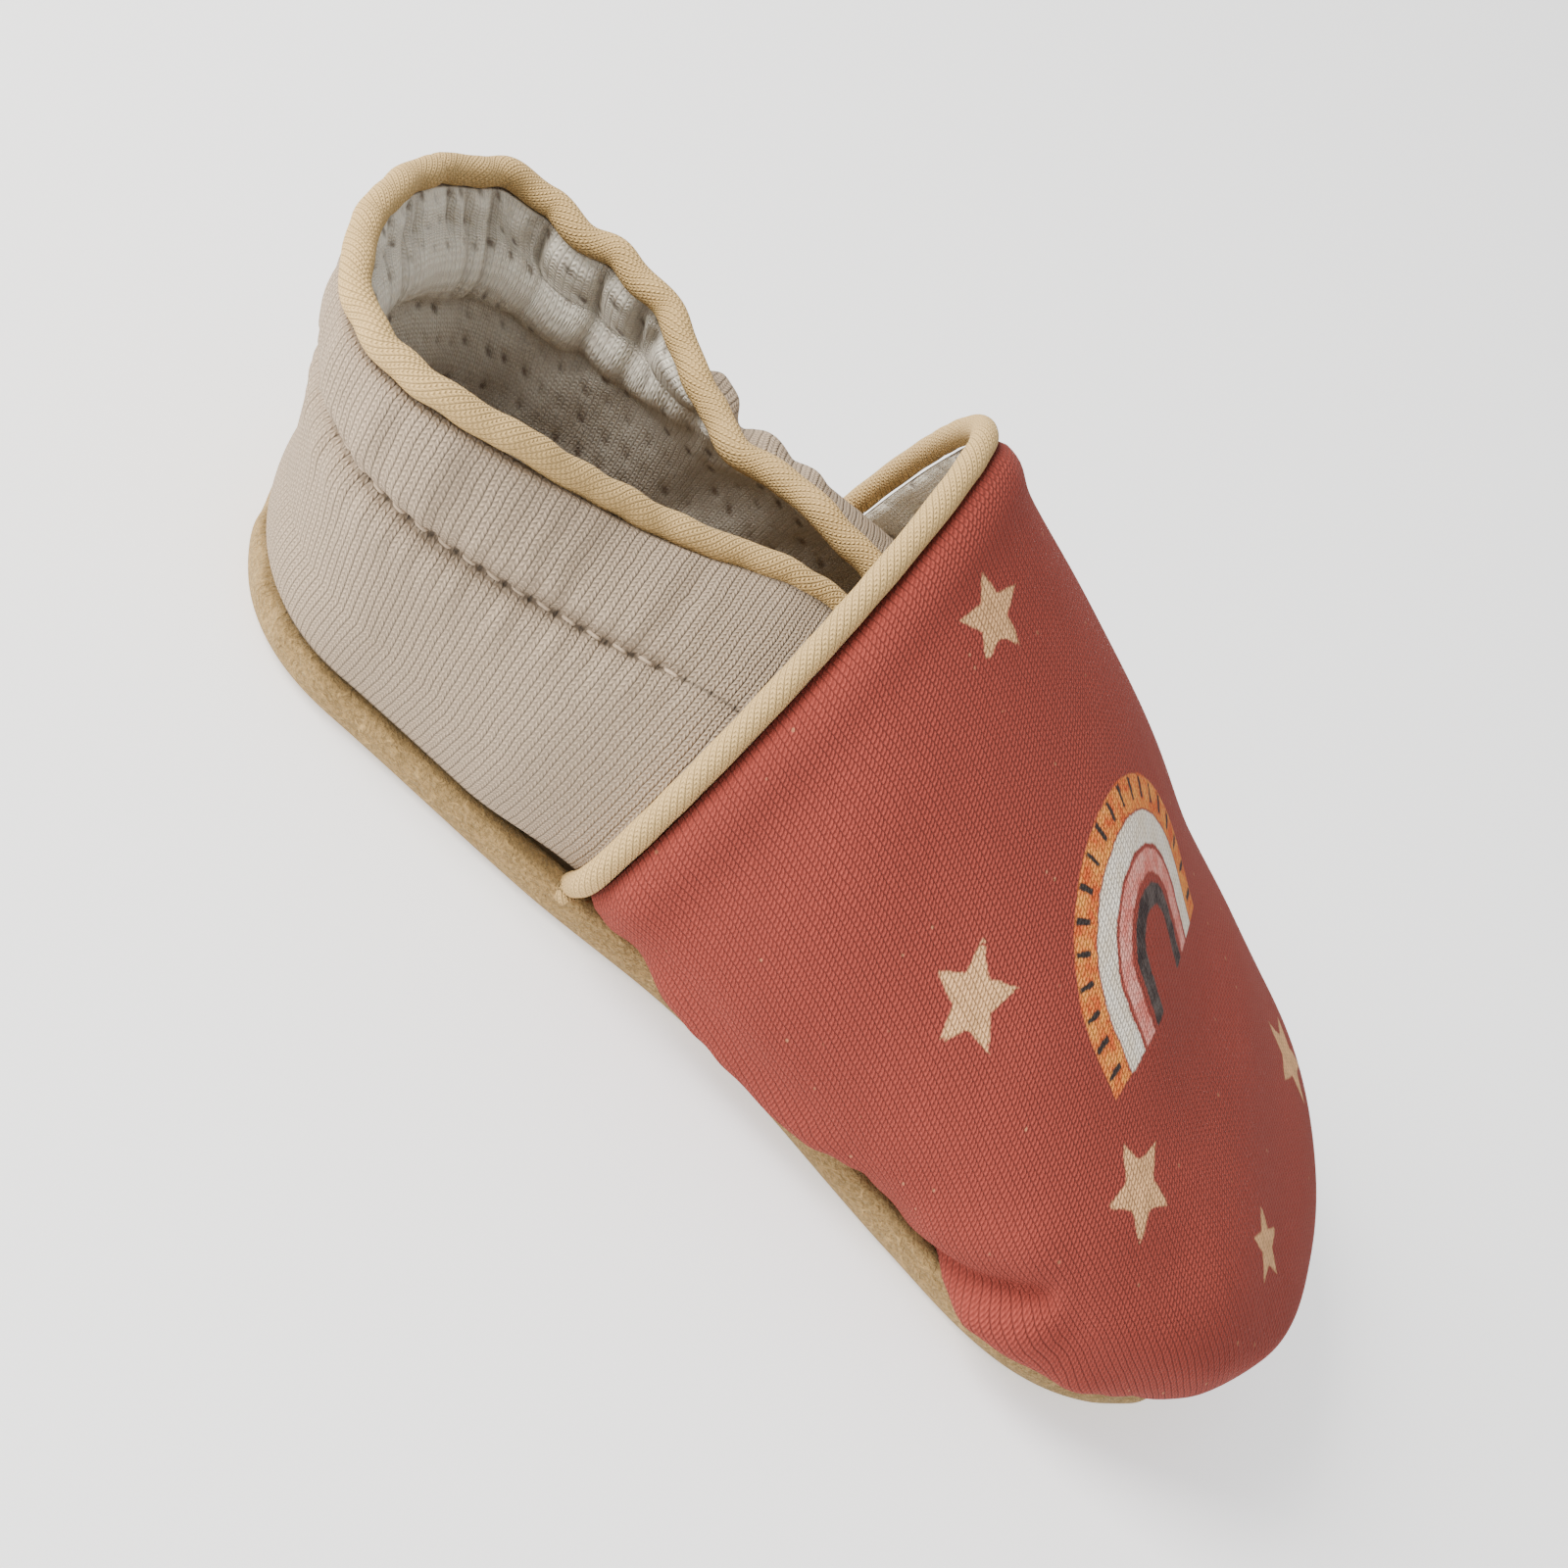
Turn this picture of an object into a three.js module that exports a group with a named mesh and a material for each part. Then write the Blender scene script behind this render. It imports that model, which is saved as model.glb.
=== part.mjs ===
// A soft-soled baby slipper for the left foot, in millimetres: +X points to the toe, +Y to the
// left, +Z up, and the sole rests on z = 0. It is sewn from a suede sole, a footbed, a lined
// jersey vamp that laps over a lined jersey heel quarter, and two corded pipings. Every form is
// worked out from the sizes and tables below.
import * as THREE from "three";
import { mergeVertices } from "three/addons/utils/BufferGeometryUtils.js";

// Driving sizes of the last.
const LENGTH = 130; // heel to toe, over the upper
const BALL_WIDTH = 70; // widest girth of the vamp
const HEEL_ROUND = 19; // length of the rounded heel end
const TOE_ROUND = 30; // length of the rounded toe end
const TOE_CAP = 22; // length over which the ridge rounds down to the toe
const SEAM_SETBACK = 2.5; // how far the sole seam lies inside the upper at heel and toe
const SEAM_HEIGHT = 4.8; // top of the sole's rim, where upper and sole are sewn
const GIRTH_HEIGHT = 12.8; // height at which the upper is widest
const INSTEP_HEIGHT = 54.5; // top of the vamp's arched edge
const VAMP_EDGE_FOOT = 48.2; // distance of the vamp's edge from the heel, at the sole
const VAMP_EDGE_TOP = 49.3; // and at the top of its arch
const COLLAR_HEIGHT = 32; // wall height at the centre back
const COLLAR_LEAN = 8; // how far the slack collar leans back over the heel

// Sizes of the materials.
const VAMP_WALL = 2.0; // jersey, wadding and lining
const QUARTER_WALL = 2.4; // the same with the elastic's casing
const SOLE_WALL = 1.8; // suede
const RIM_WALL = 2.7; // the sole's rim, with its turned-in edge
const FOOTBED_THICKNESS = 1.9;
const VAMP_PIPING_RADIUS = 1.3;
const COLLAR_PIPING_RADIUS = 1.5;
const SEAM_GAP = 0.3; // clearance between sewn pieces
const QUARTER_LAP = 13; // how far the quarter's wings run under the vamp
const LAP_EASE = 13; // length over which the quarter tucks in before the vamp's edge
const CASING_DEPTH = 8.2; // how far the stitch line of the elastic lies below the collar
const CASING_SWELL = 0.8; // how far the elastic's casing stands out
const STITCH_PINCH = 1.0; // how far the stitch line pulls in
const PINCH_SPREAD = 2.0; // half width of that pinch
const SKIRT_BELLY = 2.6; // how fully the vamp bellies out over the sole seam, as a power
const EDGE_BELLY = 2.0; // the same at the vamp's edge, where the piping holds it in
const BELLY_EASE = 14; // length over which the belly grows from the one to the other
const PIPING_SET = 0.3; // how far the collar piping's middle lies inside the quarter's face

// Roundness of the outlines and of the quarter's section, as superellipse exponents.
const HEEL_EXPONENT = 2.2;
const TOE_EXPONENT = 2.3;
const QUARTER_EXPONENT = 2.4;

// The plan from heel to toe, in shares of the ball width: half widths at the sole seam and at
// the girth, and how far the centre line sways to the left.
const PLAN = [
  { at: 0.0, seam: 0.338, girth: 0.379, sway: -0.008 },
  { at: 0.15, seam: 0.338, girth: 0.379, sway: 0.0 },
  { at: 0.34, seam: 0.372, girth: 0.426, sway: 0.019 },
  { at: 0.5, seam: 0.387, girth: 0.488, sway: 0.042 },
  { at: 0.7, seam: 0.44, girth: 0.501, sway: 0.008 },
  { at: 0.84, seam: 0.444, girth: 0.498, sway: -0.035 },
  { at: 1.0, seam: 0.419, girth: 0.473, sway: -0.047 },
];

// The vamp's ridge line from its edge to the toe: its height as a share of the instep height,
// and the superellipse exponent of the arch there.
const RIDGE = [
  { at: 0.0, height: 1.0, round: 1.68 },
  { at: 0.2, height: 0.856, round: 1.93 },
  { at: 0.42, height: 0.711, round: 2.0 },
  { at: 0.62, height: 0.543, round: 2.2 },
  { at: 0.76, height: 0.455, round: 2.4 },
  { at: 0.88, height: 0.399, round: 2.5 },
  { at: 1.0, height: 0.344, round: 2.5 },
];

// The collar, from the centre back (0) to the front end of a wing (1): its half width as a
// share of the girth there, its height as a share of the collar height, and the stitch line's
// drop below it as a share of the casing's depth.
const COLLAR = [
  { at: 0.0, width: 0.975, height: 1.0, casing: 1.0 },
  { at: 0.25, width: 0.94, height: 0.98, casing: 1.02 },
  { at: 0.45, width: 0.81, height: 1.035, casing: 1.15 },
  { at: 0.62, width: 0.48, height: 1.015, casing: 0.85 },
  { at: 0.8, width: 0.26, height: 1.08, casing: 0.73 },
  { at: 1.0, width: 0.17, height: 1.02, casing: 0.55 },
];
const HEEL_SHARE = 0.45; // the part of that way which is the rounded heel
const SKIRT_SHARE = 0.2; // the part of the quarter's rise that is below the girth line

// Gathers of the elastic collar, more on the left side than the right: the place of each along
// the collar from the right wing (-1) round the back (0) to the left wing (1), its half width
// there, and how many millimetres it pushes the wall out and up (in and down, below zero).
const GATHERS = [
  { at: -0.84, half: 0.05, out: 0.5, up: 0.3 },
  { at: -0.74, half: 0.05, out: -0.6, up: -0.5 },
  { at: 0.26, half: 0.07, out: 0.7, up: 0.4 },
  { at: 0.39, half: 0.06, out: -1.2, up: -0.6 },
  { at: 0.52, half: 0.065, out: 1.1, up: 0.6 },
  { at: 0.655, half: 0.055, out: -1.5, up: -0.8 },
  { at: 0.77, half: 0.05, out: 0.6, up: 0.3 },
];

// How finely the surfaces are faceted.
const VAMP_ROWS = 20;
const VAMP_ARCH_STEPS = 24;
const SKIRT_STEPS = 4;
const QUARTER_COLUMNS = 60;
const QUARTER_RISE_STEPS = 9;
const OUTLINE_STEPS = 34;
const PIPING_SIDES = 8;
const SLOPE_STEP = 0.01;

const clamp = (v, low, high) => Math.min(high, Math.max(low, v));
const mix = (a, b, share) => a + (b - a) * share;
const range = (count) => Array.from({ length: count }, (_, i) => i);
const ease = (share) => {
  const t = clamp(share, 0, 1);
  return t * t * (3 - 2 * t);
};

// A smooth curve through one column of a table, read at a place between its first and last row.
function readTable(rows, column, at) {
  const place = clamp(at, rows[0].at, rows.at(-1).at);
  const above = rows.findIndex((row) => row.at > place);
  const low = above < 0 ? rows.length - 2 : above - 1;
  const slope = (k) => {
    const a = rows[Math.max(k - 1, 0)];
    const b = rows[Math.min(k + 1, rows.length - 1)];
    return (b[column] - a[column]) / (b.at - a.at);
  };
  const from = rows[low];
  const to = rows[low + 1];
  const span = to.at - from.at;
  const t = (place - from.at) / span;
  const blend = ease(t);
  const leave = t * (1 - t) * (1 - t) * span * slope(low);
  const arrive = t * t * (1 - t) * span * slope(low + 1);
  return mix(from[column], to[column], blend) + leave - arrive;
}

// The share of full width left at a distance from a rounded end.
function roundedEnd(distance, roundLength, exponent) {
  const t = clamp(1 - distance / roundLength, 0, 1);
  return Math.pow(1 - Math.pow(t, exponent), 1 / exponent);
}

// Half width of an outline of the plan at x, drawn in by an inset all round, and the centre
// line that it is measured from.
function halfWidth(column, x, setback, inset) {
  const toe = LENGTH - setback - inset;
  const width = readTable(PLAN, column, x / LENGTH) * BALL_WIDTH - inset;
  return width * roundedEnd(toe - x, TOE_ROUND, TOE_EXPONENT);
}

const centreLine = (x) => readTable(PLAN, "sway", x / LENGTH) * BALL_WIDTH;

// Distance of the vamp's edge from the heel at a height.
const vampEdge = (z) =>
  mix(VAMP_EDGE_FOOT, VAMP_EDGE_TOP, (z - SEAM_HEIGHT) / (INSTEP_HEIGHT - SEAM_HEIGHT));

// Where a distance from the heel lies between the vamp's edge (0) and the toe (1).
const alongRidge = (x) => (x - VAMP_EDGE_TOP) / (LENGTH - VAMP_EDGE_TOP);

// Height of the vamp's ridge at x, drawn in by an inset.
function ridgeHeight(x, inset) {
  const open = readTable(RIDGE, "height", alongRidge(x)) * INSTEP_HEIGHT - inset;
  return mix(GIRTH_HEIGHT, open, roundedEnd(LENGTH - inset - x, TOE_CAP, 2));
}

// One row of the vamp: from the right seam over the arch to the left seam. The share runs from
// the vamp's edge (0) to the toe (1), and the inset draws the whole row in.
function vampRow(share, inset) {
  const reach = Math.sin((share * Math.PI) / 2);
  const toe = LENGTH - inset;
  const ridgeX = mix(VAMP_EDGE_TOP, toe, reach);
  const top = ridgeHeight(ridgeX, inset);
  const power = 2 / readTable(RIDGE, "round", alongRidge(ridgeX));
  const arch = range(VAMP_ARCH_STEPS + 1).map((k) => {
    const angle = (Math.PI * k) / VAMP_ARCH_STEPS;
    const rise = k % VAMP_ARCH_STEPS ? Math.pow(Math.sin(angle), power) : 0;
    const across = -Math.sign(Math.cos(angle)) * Math.pow(Math.abs(Math.cos(angle)), power);
    const z = mix(GIRTH_HEIGHT, top, rise);
    const x = mix(vampEdge(z), toe, reach);
    return new THREE.Vector3(x, centreLine(x) + across * halfWidth("girth", x, 0, inset), z);
  });
  const seamX = mix(vampEdge(SEAM_HEIGHT), toe - SEAM_SETBACK, reach);
  const seamWidth = halfWidth("seam", seamX, SEAM_SETBACK, inset);
  const belly = mix(EDGE_BELLY, SKIRT_BELLY, ease((seamX - VAMP_EDGE_FOOT) / BELLY_EASE));
  const skirt = (side) =>
    range(SKIRT_STEPS).map((k) => {
      const down = 1 - k / SKIRT_STEPS;
      const tuckedIn = Math.pow(down, belly);
      const girth = arch[side < 0 ? 0 : VAMP_ARCH_STEPS];
      return new THREE.Vector3(
        mix(girth.x, seamX, tuckedIn),
        mix(girth.y, centreLine(seamX) + side * seamWidth, tuckedIn),
        mix(GIRTH_HEIGHT, SEAM_HEIGHT + SEAM_GAP, down),
      );
    });
  return [...skirt(-1), ...arch, ...skirt(1).reverse()];
}

// How far the quarter has tucked in at x, from not at all (0) to lying under the vamp (1).
function tuckShare(x) {
  const reached = VAMP_EDGE_TOP - 2 * VAMP_PIPING_RADIUS - 2 * SEAM_GAP;
  return ease((x - reached + LAP_EASE) / LAP_EASE);
}

// The wave that the gathers give the collar at a place along it.
function gatherAt(place, column) {
  return GATHERS.reduce((sum, fold) => {
    const t = clamp((place - fold.at) / fold.half, -1, 1);
    return sum + fold[column] * 0.5 * (1 + Math.cos(Math.PI * t));
  }, 0);
}

// The plan point of the quarter's girth or seam line at a place from the right wing (-1) round
// the back (0) to the left wing (1), and the point on the centre line that it faces.
function quarterOutline(column, place, setback) {
  const side = Math.sign(place) || 1;
  const along = Math.abs(place);
  const wingFront = VAMP_EDGE_FOOT + QUARTER_LAP;
  if (along >= HEEL_SHARE) {
    const x = mix(HEEL_ROUND, wingFront, (along - HEEL_SHARE) / (1 - HEEL_SHARE));
    const tuck = (VAMP_WALL + SEAM_GAP) * tuckShare(x);
    const y = centreLine(x) + side * halfWidth(column, x, setback, tuck);
    return { x, y, centreX: x, centreY: centreLine(x) };
  }
  const angle = ((along / HEEL_SHARE) * Math.PI) / 2;
  const power = 2 / HEEL_EXPONENT;
  const x = HEEL_ROUND - (HEEL_ROUND - setback) * Math.pow(Math.cos(angle), power);
  const width = halfWidth(column, HEEL_ROUND, setback, 0) * Math.pow(Math.sin(angle), power);
  return {
    x,
    y: centreLine(x) + side * width,
    centreX: HEEL_ROUND,
    centreY: centreLine(HEEL_ROUND),
  };
}

// A point of the quarter's outer face. The rise runs from the seam (0) over the girth line to
// the collar (1).
function quarterPoint(place, rise) {
  const girth = quarterOutline("girth", place, 0);
  if (rise < SKIRT_SHARE) {
    const seam = quarterOutline("seam", place, SEAM_SETBACK);
    const down = 1 - rise / SKIRT_SHARE;
    return new THREE.Vector3(
      mix(girth.x, seam.x, down * down),
      mix(girth.y, seam.y, down * down),
      mix(GIRTH_HEIGHT, SEAM_HEIGHT + SEAM_GAP, down),
    );
  }
  const along = Math.abs(place);
  const collarWidth = readTable(COLLAR, "width", along);
  const collarRise = readTable(COLLAR, "height", along) * COLLAR_HEIGHT - GIRTH_HEIGHT;
  const power = 2 / QUARTER_EXPONENT;
  const collarAngle = Math.acos(Math.pow(collarWidth, 1 / power));
  const crown = collarRise / Math.pow(Math.sin(collarAngle), power);
  const up = (rise - SKIRT_SHARE) / (1 - SKIRT_SHARE);
  const angle = collarAngle * up;
  const climb = crown * Math.pow(Math.sin(angle), power);
  const below = collarRise - climb;
  const casing = readTable(COLLAR, "casing", along) * CASING_DEPTH;
  const pinch = Math.exp(-Math.pow((below - casing) / PINCH_SPREAD, 2));
  const swell = Math.sin(Math.PI * clamp(below / casing, 0, 1));
  const gather = ease(1.2 * up - 0.2);
  const open = 1 - tuckShare(girth.x);
  const out = CASING_SWELL * swell - STITCH_PINCH * pinch + gatherAt(place, "out") * gather;
  const dx = girth.x - girth.centreX;
  const dy = girth.y - girth.centreY;
  const reach = Math.pow(Math.cos(angle), power) + (out * open) / Math.hypot(dx, dy);
  const back = ease(1 - girth.x / VAMP_EDGE_TOP) * (climb / collarRise);
  return new THREE.Vector3(
    girth.centreX + dx * reach - COLLAR_LEAN * back,
    girth.centreY + dy * reach,
    GIRTH_HEIGHT + climb + gatherAt(place, "up") * gather * gather * open,
  );
}

// How the quarter lies at a point: the direction up its wall, and the direction out of it,
// which turns level at the sole seam.
function quarterDirections(place, rise) {
  const across = quarterPoint(Math.min(place + SLOPE_STEP, 1), rise).sub(
    quarterPoint(Math.max(place - SLOPE_STEP, -1), rise),
  );
  const upward = quarterPoint(place, Math.min(rise + SLOPE_STEP, 1)).sub(
    quarterPoint(place, Math.max(rise - SLOPE_STEP, 0)),
  );
  const outward = new THREE.Vector3().crossVectors(upward, across).normalize();
  outward.z *= clamp(rise / SKIRT_SHARE, 0, 1);
  return { upward: upward.normalize(), outward: outward.normalize() };
}

// The closed outline of the sole seam, drawn in by an inset, anticlockwise from the heel.
function seamOutline(inset) {
  const heel = SEAM_SETBACK + inset;
  const toe = LENGTH - SEAM_SETBACK - inset;
  const stations = range(OUTLINE_STEPS + 1).map((k) => {
    const x = mix(heel, toe, (1 - Math.cos((Math.PI * k) / OUTLINE_STEPS)) / 2);
    const heelEnd = roundedEnd(x - heel, HEEL_ROUND - SEAM_SETBACK, HEEL_EXPONENT);
    const width = halfWidth("seam", x, SEAM_SETBACK, inset) * heelEnd;
    return { x, width: k % OUTLINE_STEPS ? width : 0 };
  });
  const edge = (side) =>
    stations.map(({ x, width }) => new THREE.Vector2(x, centreLine(x) + side * width));
  return [...edge(-1), ...edge(1).slice(1, -1).reverse()];
}

// A geometry from points and faces, with meeting points merged and empty faces dropped.
function closedGeometry(points, faces) {
  const geometry = new THREE.BufferGeometry().setFromPoints(points);
  geometry.setIndex(faces.flat());
  const merged = mergeVertices(geometry, 0.002);
  const corner = merged.index.array;
  const kept = range(corner.length / 3)
    .map((k) => [corner[3 * k], corner[3 * k + 1], corner[3 * k + 2]])
    .filter(([a, b, c]) => a !== b && b !== c && c !== a);
  merged.setIndex(kept.flat());
  merged.computeVertexNormals();
  return merged;
}

// A closed shell from an outer and an inner grid of points, whose rows run the same way. The
// rim between the grids is closed all round, but not at the last row where its halves meet.
function shellGeometry(outer, inner, halvesMeet) {
  const rows = outer.length;
  const columns = outer[0].length;
  const points = [...outer.flat(), ...inner.flat()];
  const at = (layer, i, j) => layer * rows * columns + i * columns + j;
  const faces = [];
  const quad = (a, b, c, d) => faces.push([a, c, b], [a, d, c]);
  const lastRow = rows - 1;
  const lastColumn = columns - 1;
  for (const i of range(lastRow)) {
    for (const j of range(lastColumn)) {
      quad(at(0, i, j), at(0, i, j + 1), at(0, i + 1, j + 1), at(0, i + 1, j));
      quad(at(1, i, j), at(1, i + 1, j), at(1, i + 1, j + 1), at(1, i, j + 1));
    }
    quad(at(0, i, 0), at(0, i + 1, 0), at(1, i + 1, 0), at(1, i, 0));
    quad(
      at(0, i, lastColumn),
      at(1, i, lastColumn),
      at(1, i + 1, lastColumn),
      at(0, i + 1, lastColumn),
    );
  }
  for (const j of range(lastColumn)) {
    quad(at(0, 0, j), at(1, 0, j), at(1, 0, j + 1), at(0, 0, j + 1));
    if (!halvesMeet) {
      quad(
        at(0, lastRow, j),
        at(0, lastRow, j + 1),
        at(1, lastRow, j + 1),
        at(1, lastRow, j),
      );
    }
  }
  return closedGeometry(points, faces);
}

// A solid of stacked outlines, from the rim of its underside out, up and back to the rim of its
// top. Each step gives the outline's inset and height.
function stackedGeometry(steps) {
  const rings = steps.map(({ inset, z }) =>
    seamOutline(inset).map((p) => new THREE.Vector3(p.x, p.y, z)),
  );
  const count = rings[0].length;
  const faces = [];
  for (const i of range(rings.length - 1)) {
    for (const j of range(count)) {
      const a = i * count + j;
      const b = i * count + ((j + 1) % count);
      faces.push([a, b, b + count], [a, b + count, a + count]);
    }
  }
  const top = (rings.length - 1) * count;
  for (const [a, b, c] of THREE.ShapeUtils.triangulateShape(seamOutline(steps[0].inset), [])) {
    faces.push([a, c, b], [top + a, top + b, top + c]);
  }
  return closedGeometry(rings.flat(), faces);
}

// A corded piping through stations, each with its middle and the two directions its round
// section lies in. The directions and the way along the piping make a right-handed set.
function pipingGeometry(stations, radius) {
  const points = stations.flatMap(({ middle, first, second }) =>
    range(PIPING_SIDES).map((k) => {
      const angle = (2 * Math.PI * k) / PIPING_SIDES;
      return middle
        .clone()
        .addScaledVector(first, radius * Math.cos(angle))
        .addScaledVector(second, radius * Math.sin(angle));
    }),
  );
  const faces = [];
  for (const i of range(stations.length - 1)) {
    for (const k of range(PIPING_SIDES)) {
      const a = i * PIPING_SIDES + k;
      const b = i * PIPING_SIDES + ((k + 1) % PIPING_SIDES);
      faces.push([a, b, b + PIPING_SIDES], [a, b + PIPING_SIDES, a + PIPING_SIDES]);
    }
  }
  const end = (stations.length - 1) * PIPING_SIDES;
  for (const k of range(PIPING_SIDES - 2)) {
    faces.push([0, k + 2, k + 1], [end, end + k + 1, end + k + 2]);
  }
  return closedGeometry(points, faces);
}

// The suede sole: a flat tread, a soft turned-up rim and the floor inside it.
function soleGeometry() {
  return stackedGeometry([
    { inset: 2 * SOLE_WALL, z: 0 },
    { inset: 0.9 * SOLE_WALL, z: 0.1 * SEAM_HEIGHT },
    { inset: 0.15 * SOLE_WALL, z: 0.36 * SEAM_HEIGHT },
    { inset: -0.15 * SOLE_WALL, z: 0.7 * SEAM_HEIGHT },
    { inset: 0, z: SEAM_HEIGHT },
    { inset: RIM_WALL, z: SEAM_HEIGHT },
    { inset: RIM_WALL, z: 1.3 * SOLE_WALL },
    { inset: RIM_WALL + 0.6 * SOLE_WALL, z: SOLE_WALL },
  ]);
}

// The footbed, lying on the sole's floor inside the rim.
function footbedGeometry() {
  const low = SOLE_WALL + SEAM_GAP;
  const edge = RIM_WALL + SEAM_GAP;
  return stackedGeometry([
    { inset: edge + 0.6 * SOLE_WALL, z: low },
    { inset: edge, z: low + 0.4 * FOOTBED_THICKNESS },
    { inset: edge, z: low + 0.8 * FOOTBED_THICKNESS },
    { inset: edge + 0.5 * FOOTBED_THICKNESS, z: low + FOOTBED_THICKNESS },
  ]);
}

function vampGeometry() {
  const rows = (inset) => range(VAMP_ROWS + 1).map((i) => vampRow(i / VAMP_ROWS, inset));
  return shellGeometry(rows(0), rows(VAMP_WALL), true);
}

function quarterGeometry() {
  const rises = [
    ...range(SKIRT_STEPS).map((k) => (SKIRT_SHARE * k) / SKIRT_STEPS),
    ...range(QUARTER_RISE_STEPS + 1).map((k) => mix(SKIRT_SHARE, 1, k / QUARTER_RISE_STEPS)),
  ];
  const places = range(QUARTER_COLUMNS + 1).map((k) => mix(-1, 1, k / QUARTER_COLUMNS));
  const grid = (depth) =>
    rises.map((rise) =>
      places.map((place) => {
        const { outward } = quarterDirections(place, rise);
        return quarterPoint(place, rise).addScaledVector(outward, -depth);
      }),
    );
  return shellGeometry(grid(0), grid(QUARTER_WALL), false);
}

// The collar's piping sits on the quarter's top edge, a little proud of its face.
function collarPipingGeometry() {
  const stations = range(QUARTER_COLUMNS + 1).map((k) => {
    const place = mix(-1, 1, k / QUARTER_COLUMNS);
    const { upward, outward } = quarterDirections(place, 1);
    const middle = quarterPoint(place, 1)
      .addScaledVector(outward, -PIPING_SET)
      .addScaledVector(upward, COLLAR_PIPING_RADIUS + SEAM_GAP);
    return { middle, first: outward, second: upward };
  });
  return pipingGeometry(stations, COLLAR_PIPING_RADIUS);
}

// The vamp's piping runs behind the vamp's edge, and lies on the line that the quarter takes
// under it.
function vampPipingGeometry() {
  const line = vampRow(0, VAMP_WALL + SEAM_GAP);
  const behind = new THREE.Vector3(-1, 0, 0);
  const stations = line.map((point, k) => {
    const before = line[Math.max(k - 1, 0)];
    const after = line[Math.min(k + 1, line.length - 1)];
    const along = after.clone().sub(before).setX(0).normalize();
    const outward = new THREE.Vector3(0, -along.z, along.y);
    const middle = point
      .clone()
      .addScaledVector(outward, VAMP_PIPING_RADIUS + SEAM_GAP)
      .addScaledVector(behind, VAMP_PIPING_RADIUS + SEAM_GAP);
    return { middle, first: behind, second: outward };
  });
  const clearOfRim = SEAM_HEIGHT + 0.4 * VAMP_PIPING_RADIUS;
  return pipingGeometry(
    stations.filter(({ middle }) => middle.z > clearOfRim),
    VAMP_PIPING_RADIUS,
  );
}

function part(name, geometry, color, roughness) {
  const material = new THREE.MeshStandardMaterial({ color, roughness, metalness: 0 });
  const mesh = new THREE.Mesh(geometry, material);
  mesh.name = name;
  return mesh;
}

const slipper = new THREE.Group();
slipper.add(
  part("sole", soleGeometry(), 0xa98a5e, 0.95),
  part("footbed", footbedGeometry(), 0xb89c74, 0.9),
  part("vamp", vampGeometry(), 0xb85a4a, 0.9),
  part("heel_quarter", quarterGeometry(), 0xbdb4aa, 0.9),
  part("vamp_piping", vampPipingGeometry(), 0xd8c49a, 0.85),
  part("collar_piping", collarPipingGeometry(), 0xd8bf8e, 0.85),
);

// The part's origin is the middle of its footprint, on the floor.
const middle = new THREE.Box3().setFromObject(slipper).getCenter(new THREE.Vector3());
slipper.position.set(-middle.x, -middle.y, 0);

export default slipper;
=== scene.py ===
"""A soft-soled baby slipper for the left foot, dressed for rendering.

Every piece is a surface of two parameters, or a profile carried along a path. It is worked out
as whole numpy arrays in millimetres from the heel, from the sizes of the slipper's last, and put
into a mesh in metres in the part's frame: +X to the toe, +Y to the left, +Z up.
"""

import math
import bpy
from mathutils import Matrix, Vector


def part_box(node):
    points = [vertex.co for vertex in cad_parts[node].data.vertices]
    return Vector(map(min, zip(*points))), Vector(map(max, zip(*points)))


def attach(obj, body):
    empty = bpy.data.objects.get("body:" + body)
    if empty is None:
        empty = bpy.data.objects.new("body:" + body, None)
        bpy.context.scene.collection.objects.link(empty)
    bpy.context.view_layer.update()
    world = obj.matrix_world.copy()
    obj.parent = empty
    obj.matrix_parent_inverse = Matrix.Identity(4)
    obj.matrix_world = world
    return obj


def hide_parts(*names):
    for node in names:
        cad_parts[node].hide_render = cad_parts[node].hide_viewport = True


bl_info = {
    "name": "Baby slipper",
    "version": (1, 0, 0),
    "blender": (4, 5, 0),
    "location": "3D View > Sidebar > Slipper",
    "description": "Sews a soft-soled baby slipper from suede, jersey, lining and piping",
    "category": "Object",
}

import bmesh
import bpy
import numpy as np
from bpy.props import FloatProperty, FloatVectorProperty, PointerProperty
from mathutils import Matrix, Vector

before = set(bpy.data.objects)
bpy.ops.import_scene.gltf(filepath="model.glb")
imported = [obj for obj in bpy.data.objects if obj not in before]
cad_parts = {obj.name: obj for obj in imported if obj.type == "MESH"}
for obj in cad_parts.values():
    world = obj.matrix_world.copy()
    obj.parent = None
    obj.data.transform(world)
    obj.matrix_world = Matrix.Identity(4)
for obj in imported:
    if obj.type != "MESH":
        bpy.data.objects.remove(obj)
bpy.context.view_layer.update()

MM = 0.001

# The last, in millimetres, as the solids have it.
LENGTH = 130.0
BALL_WIDTH = 70.0
HEEL_ROUND = 19.0
TOE_ROUND = 30.0
TOE_CAP = 22.0
SEAM_SETBACK = 2.5
SEAM_HEIGHT = 4.8
GIRTH_HEIGHT = 12.8
INSTEP_HEIGHT = 54.5
VAMP_EDGE_FOOT = 48.2
VAMP_EDGE_TOP = 49.3
COLLAR_HEIGHT = 32.0
COLLAR_LEAN = 8.0
VAMP_WALL = 2.0
QUARTER_WALL = 2.4
SOLE_WALL = 1.8
RIM_WALL = 2.7
FOOTBED_THICKNESS = 1.9
VAMP_PIPING_RADIUS = 1.3
COLLAR_PIPING_RADIUS = 1.5
SEAM_GAP = 0.3
QUARTER_LAP = 13.0
LAP_EASE = 13.0
CASING_DEPTH = 8.2
CASING_SWELL = 0.8
PINCH_SPREAD = 2.0
SKIRT_BELLY = 2.6
EDGE_BELLY = 2.0
BELLY_EASE = 14.0
PIPING_SET = 0.3
HEEL_EXPONENT = 2.2
TOE_EXPONENT = 2.3
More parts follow.
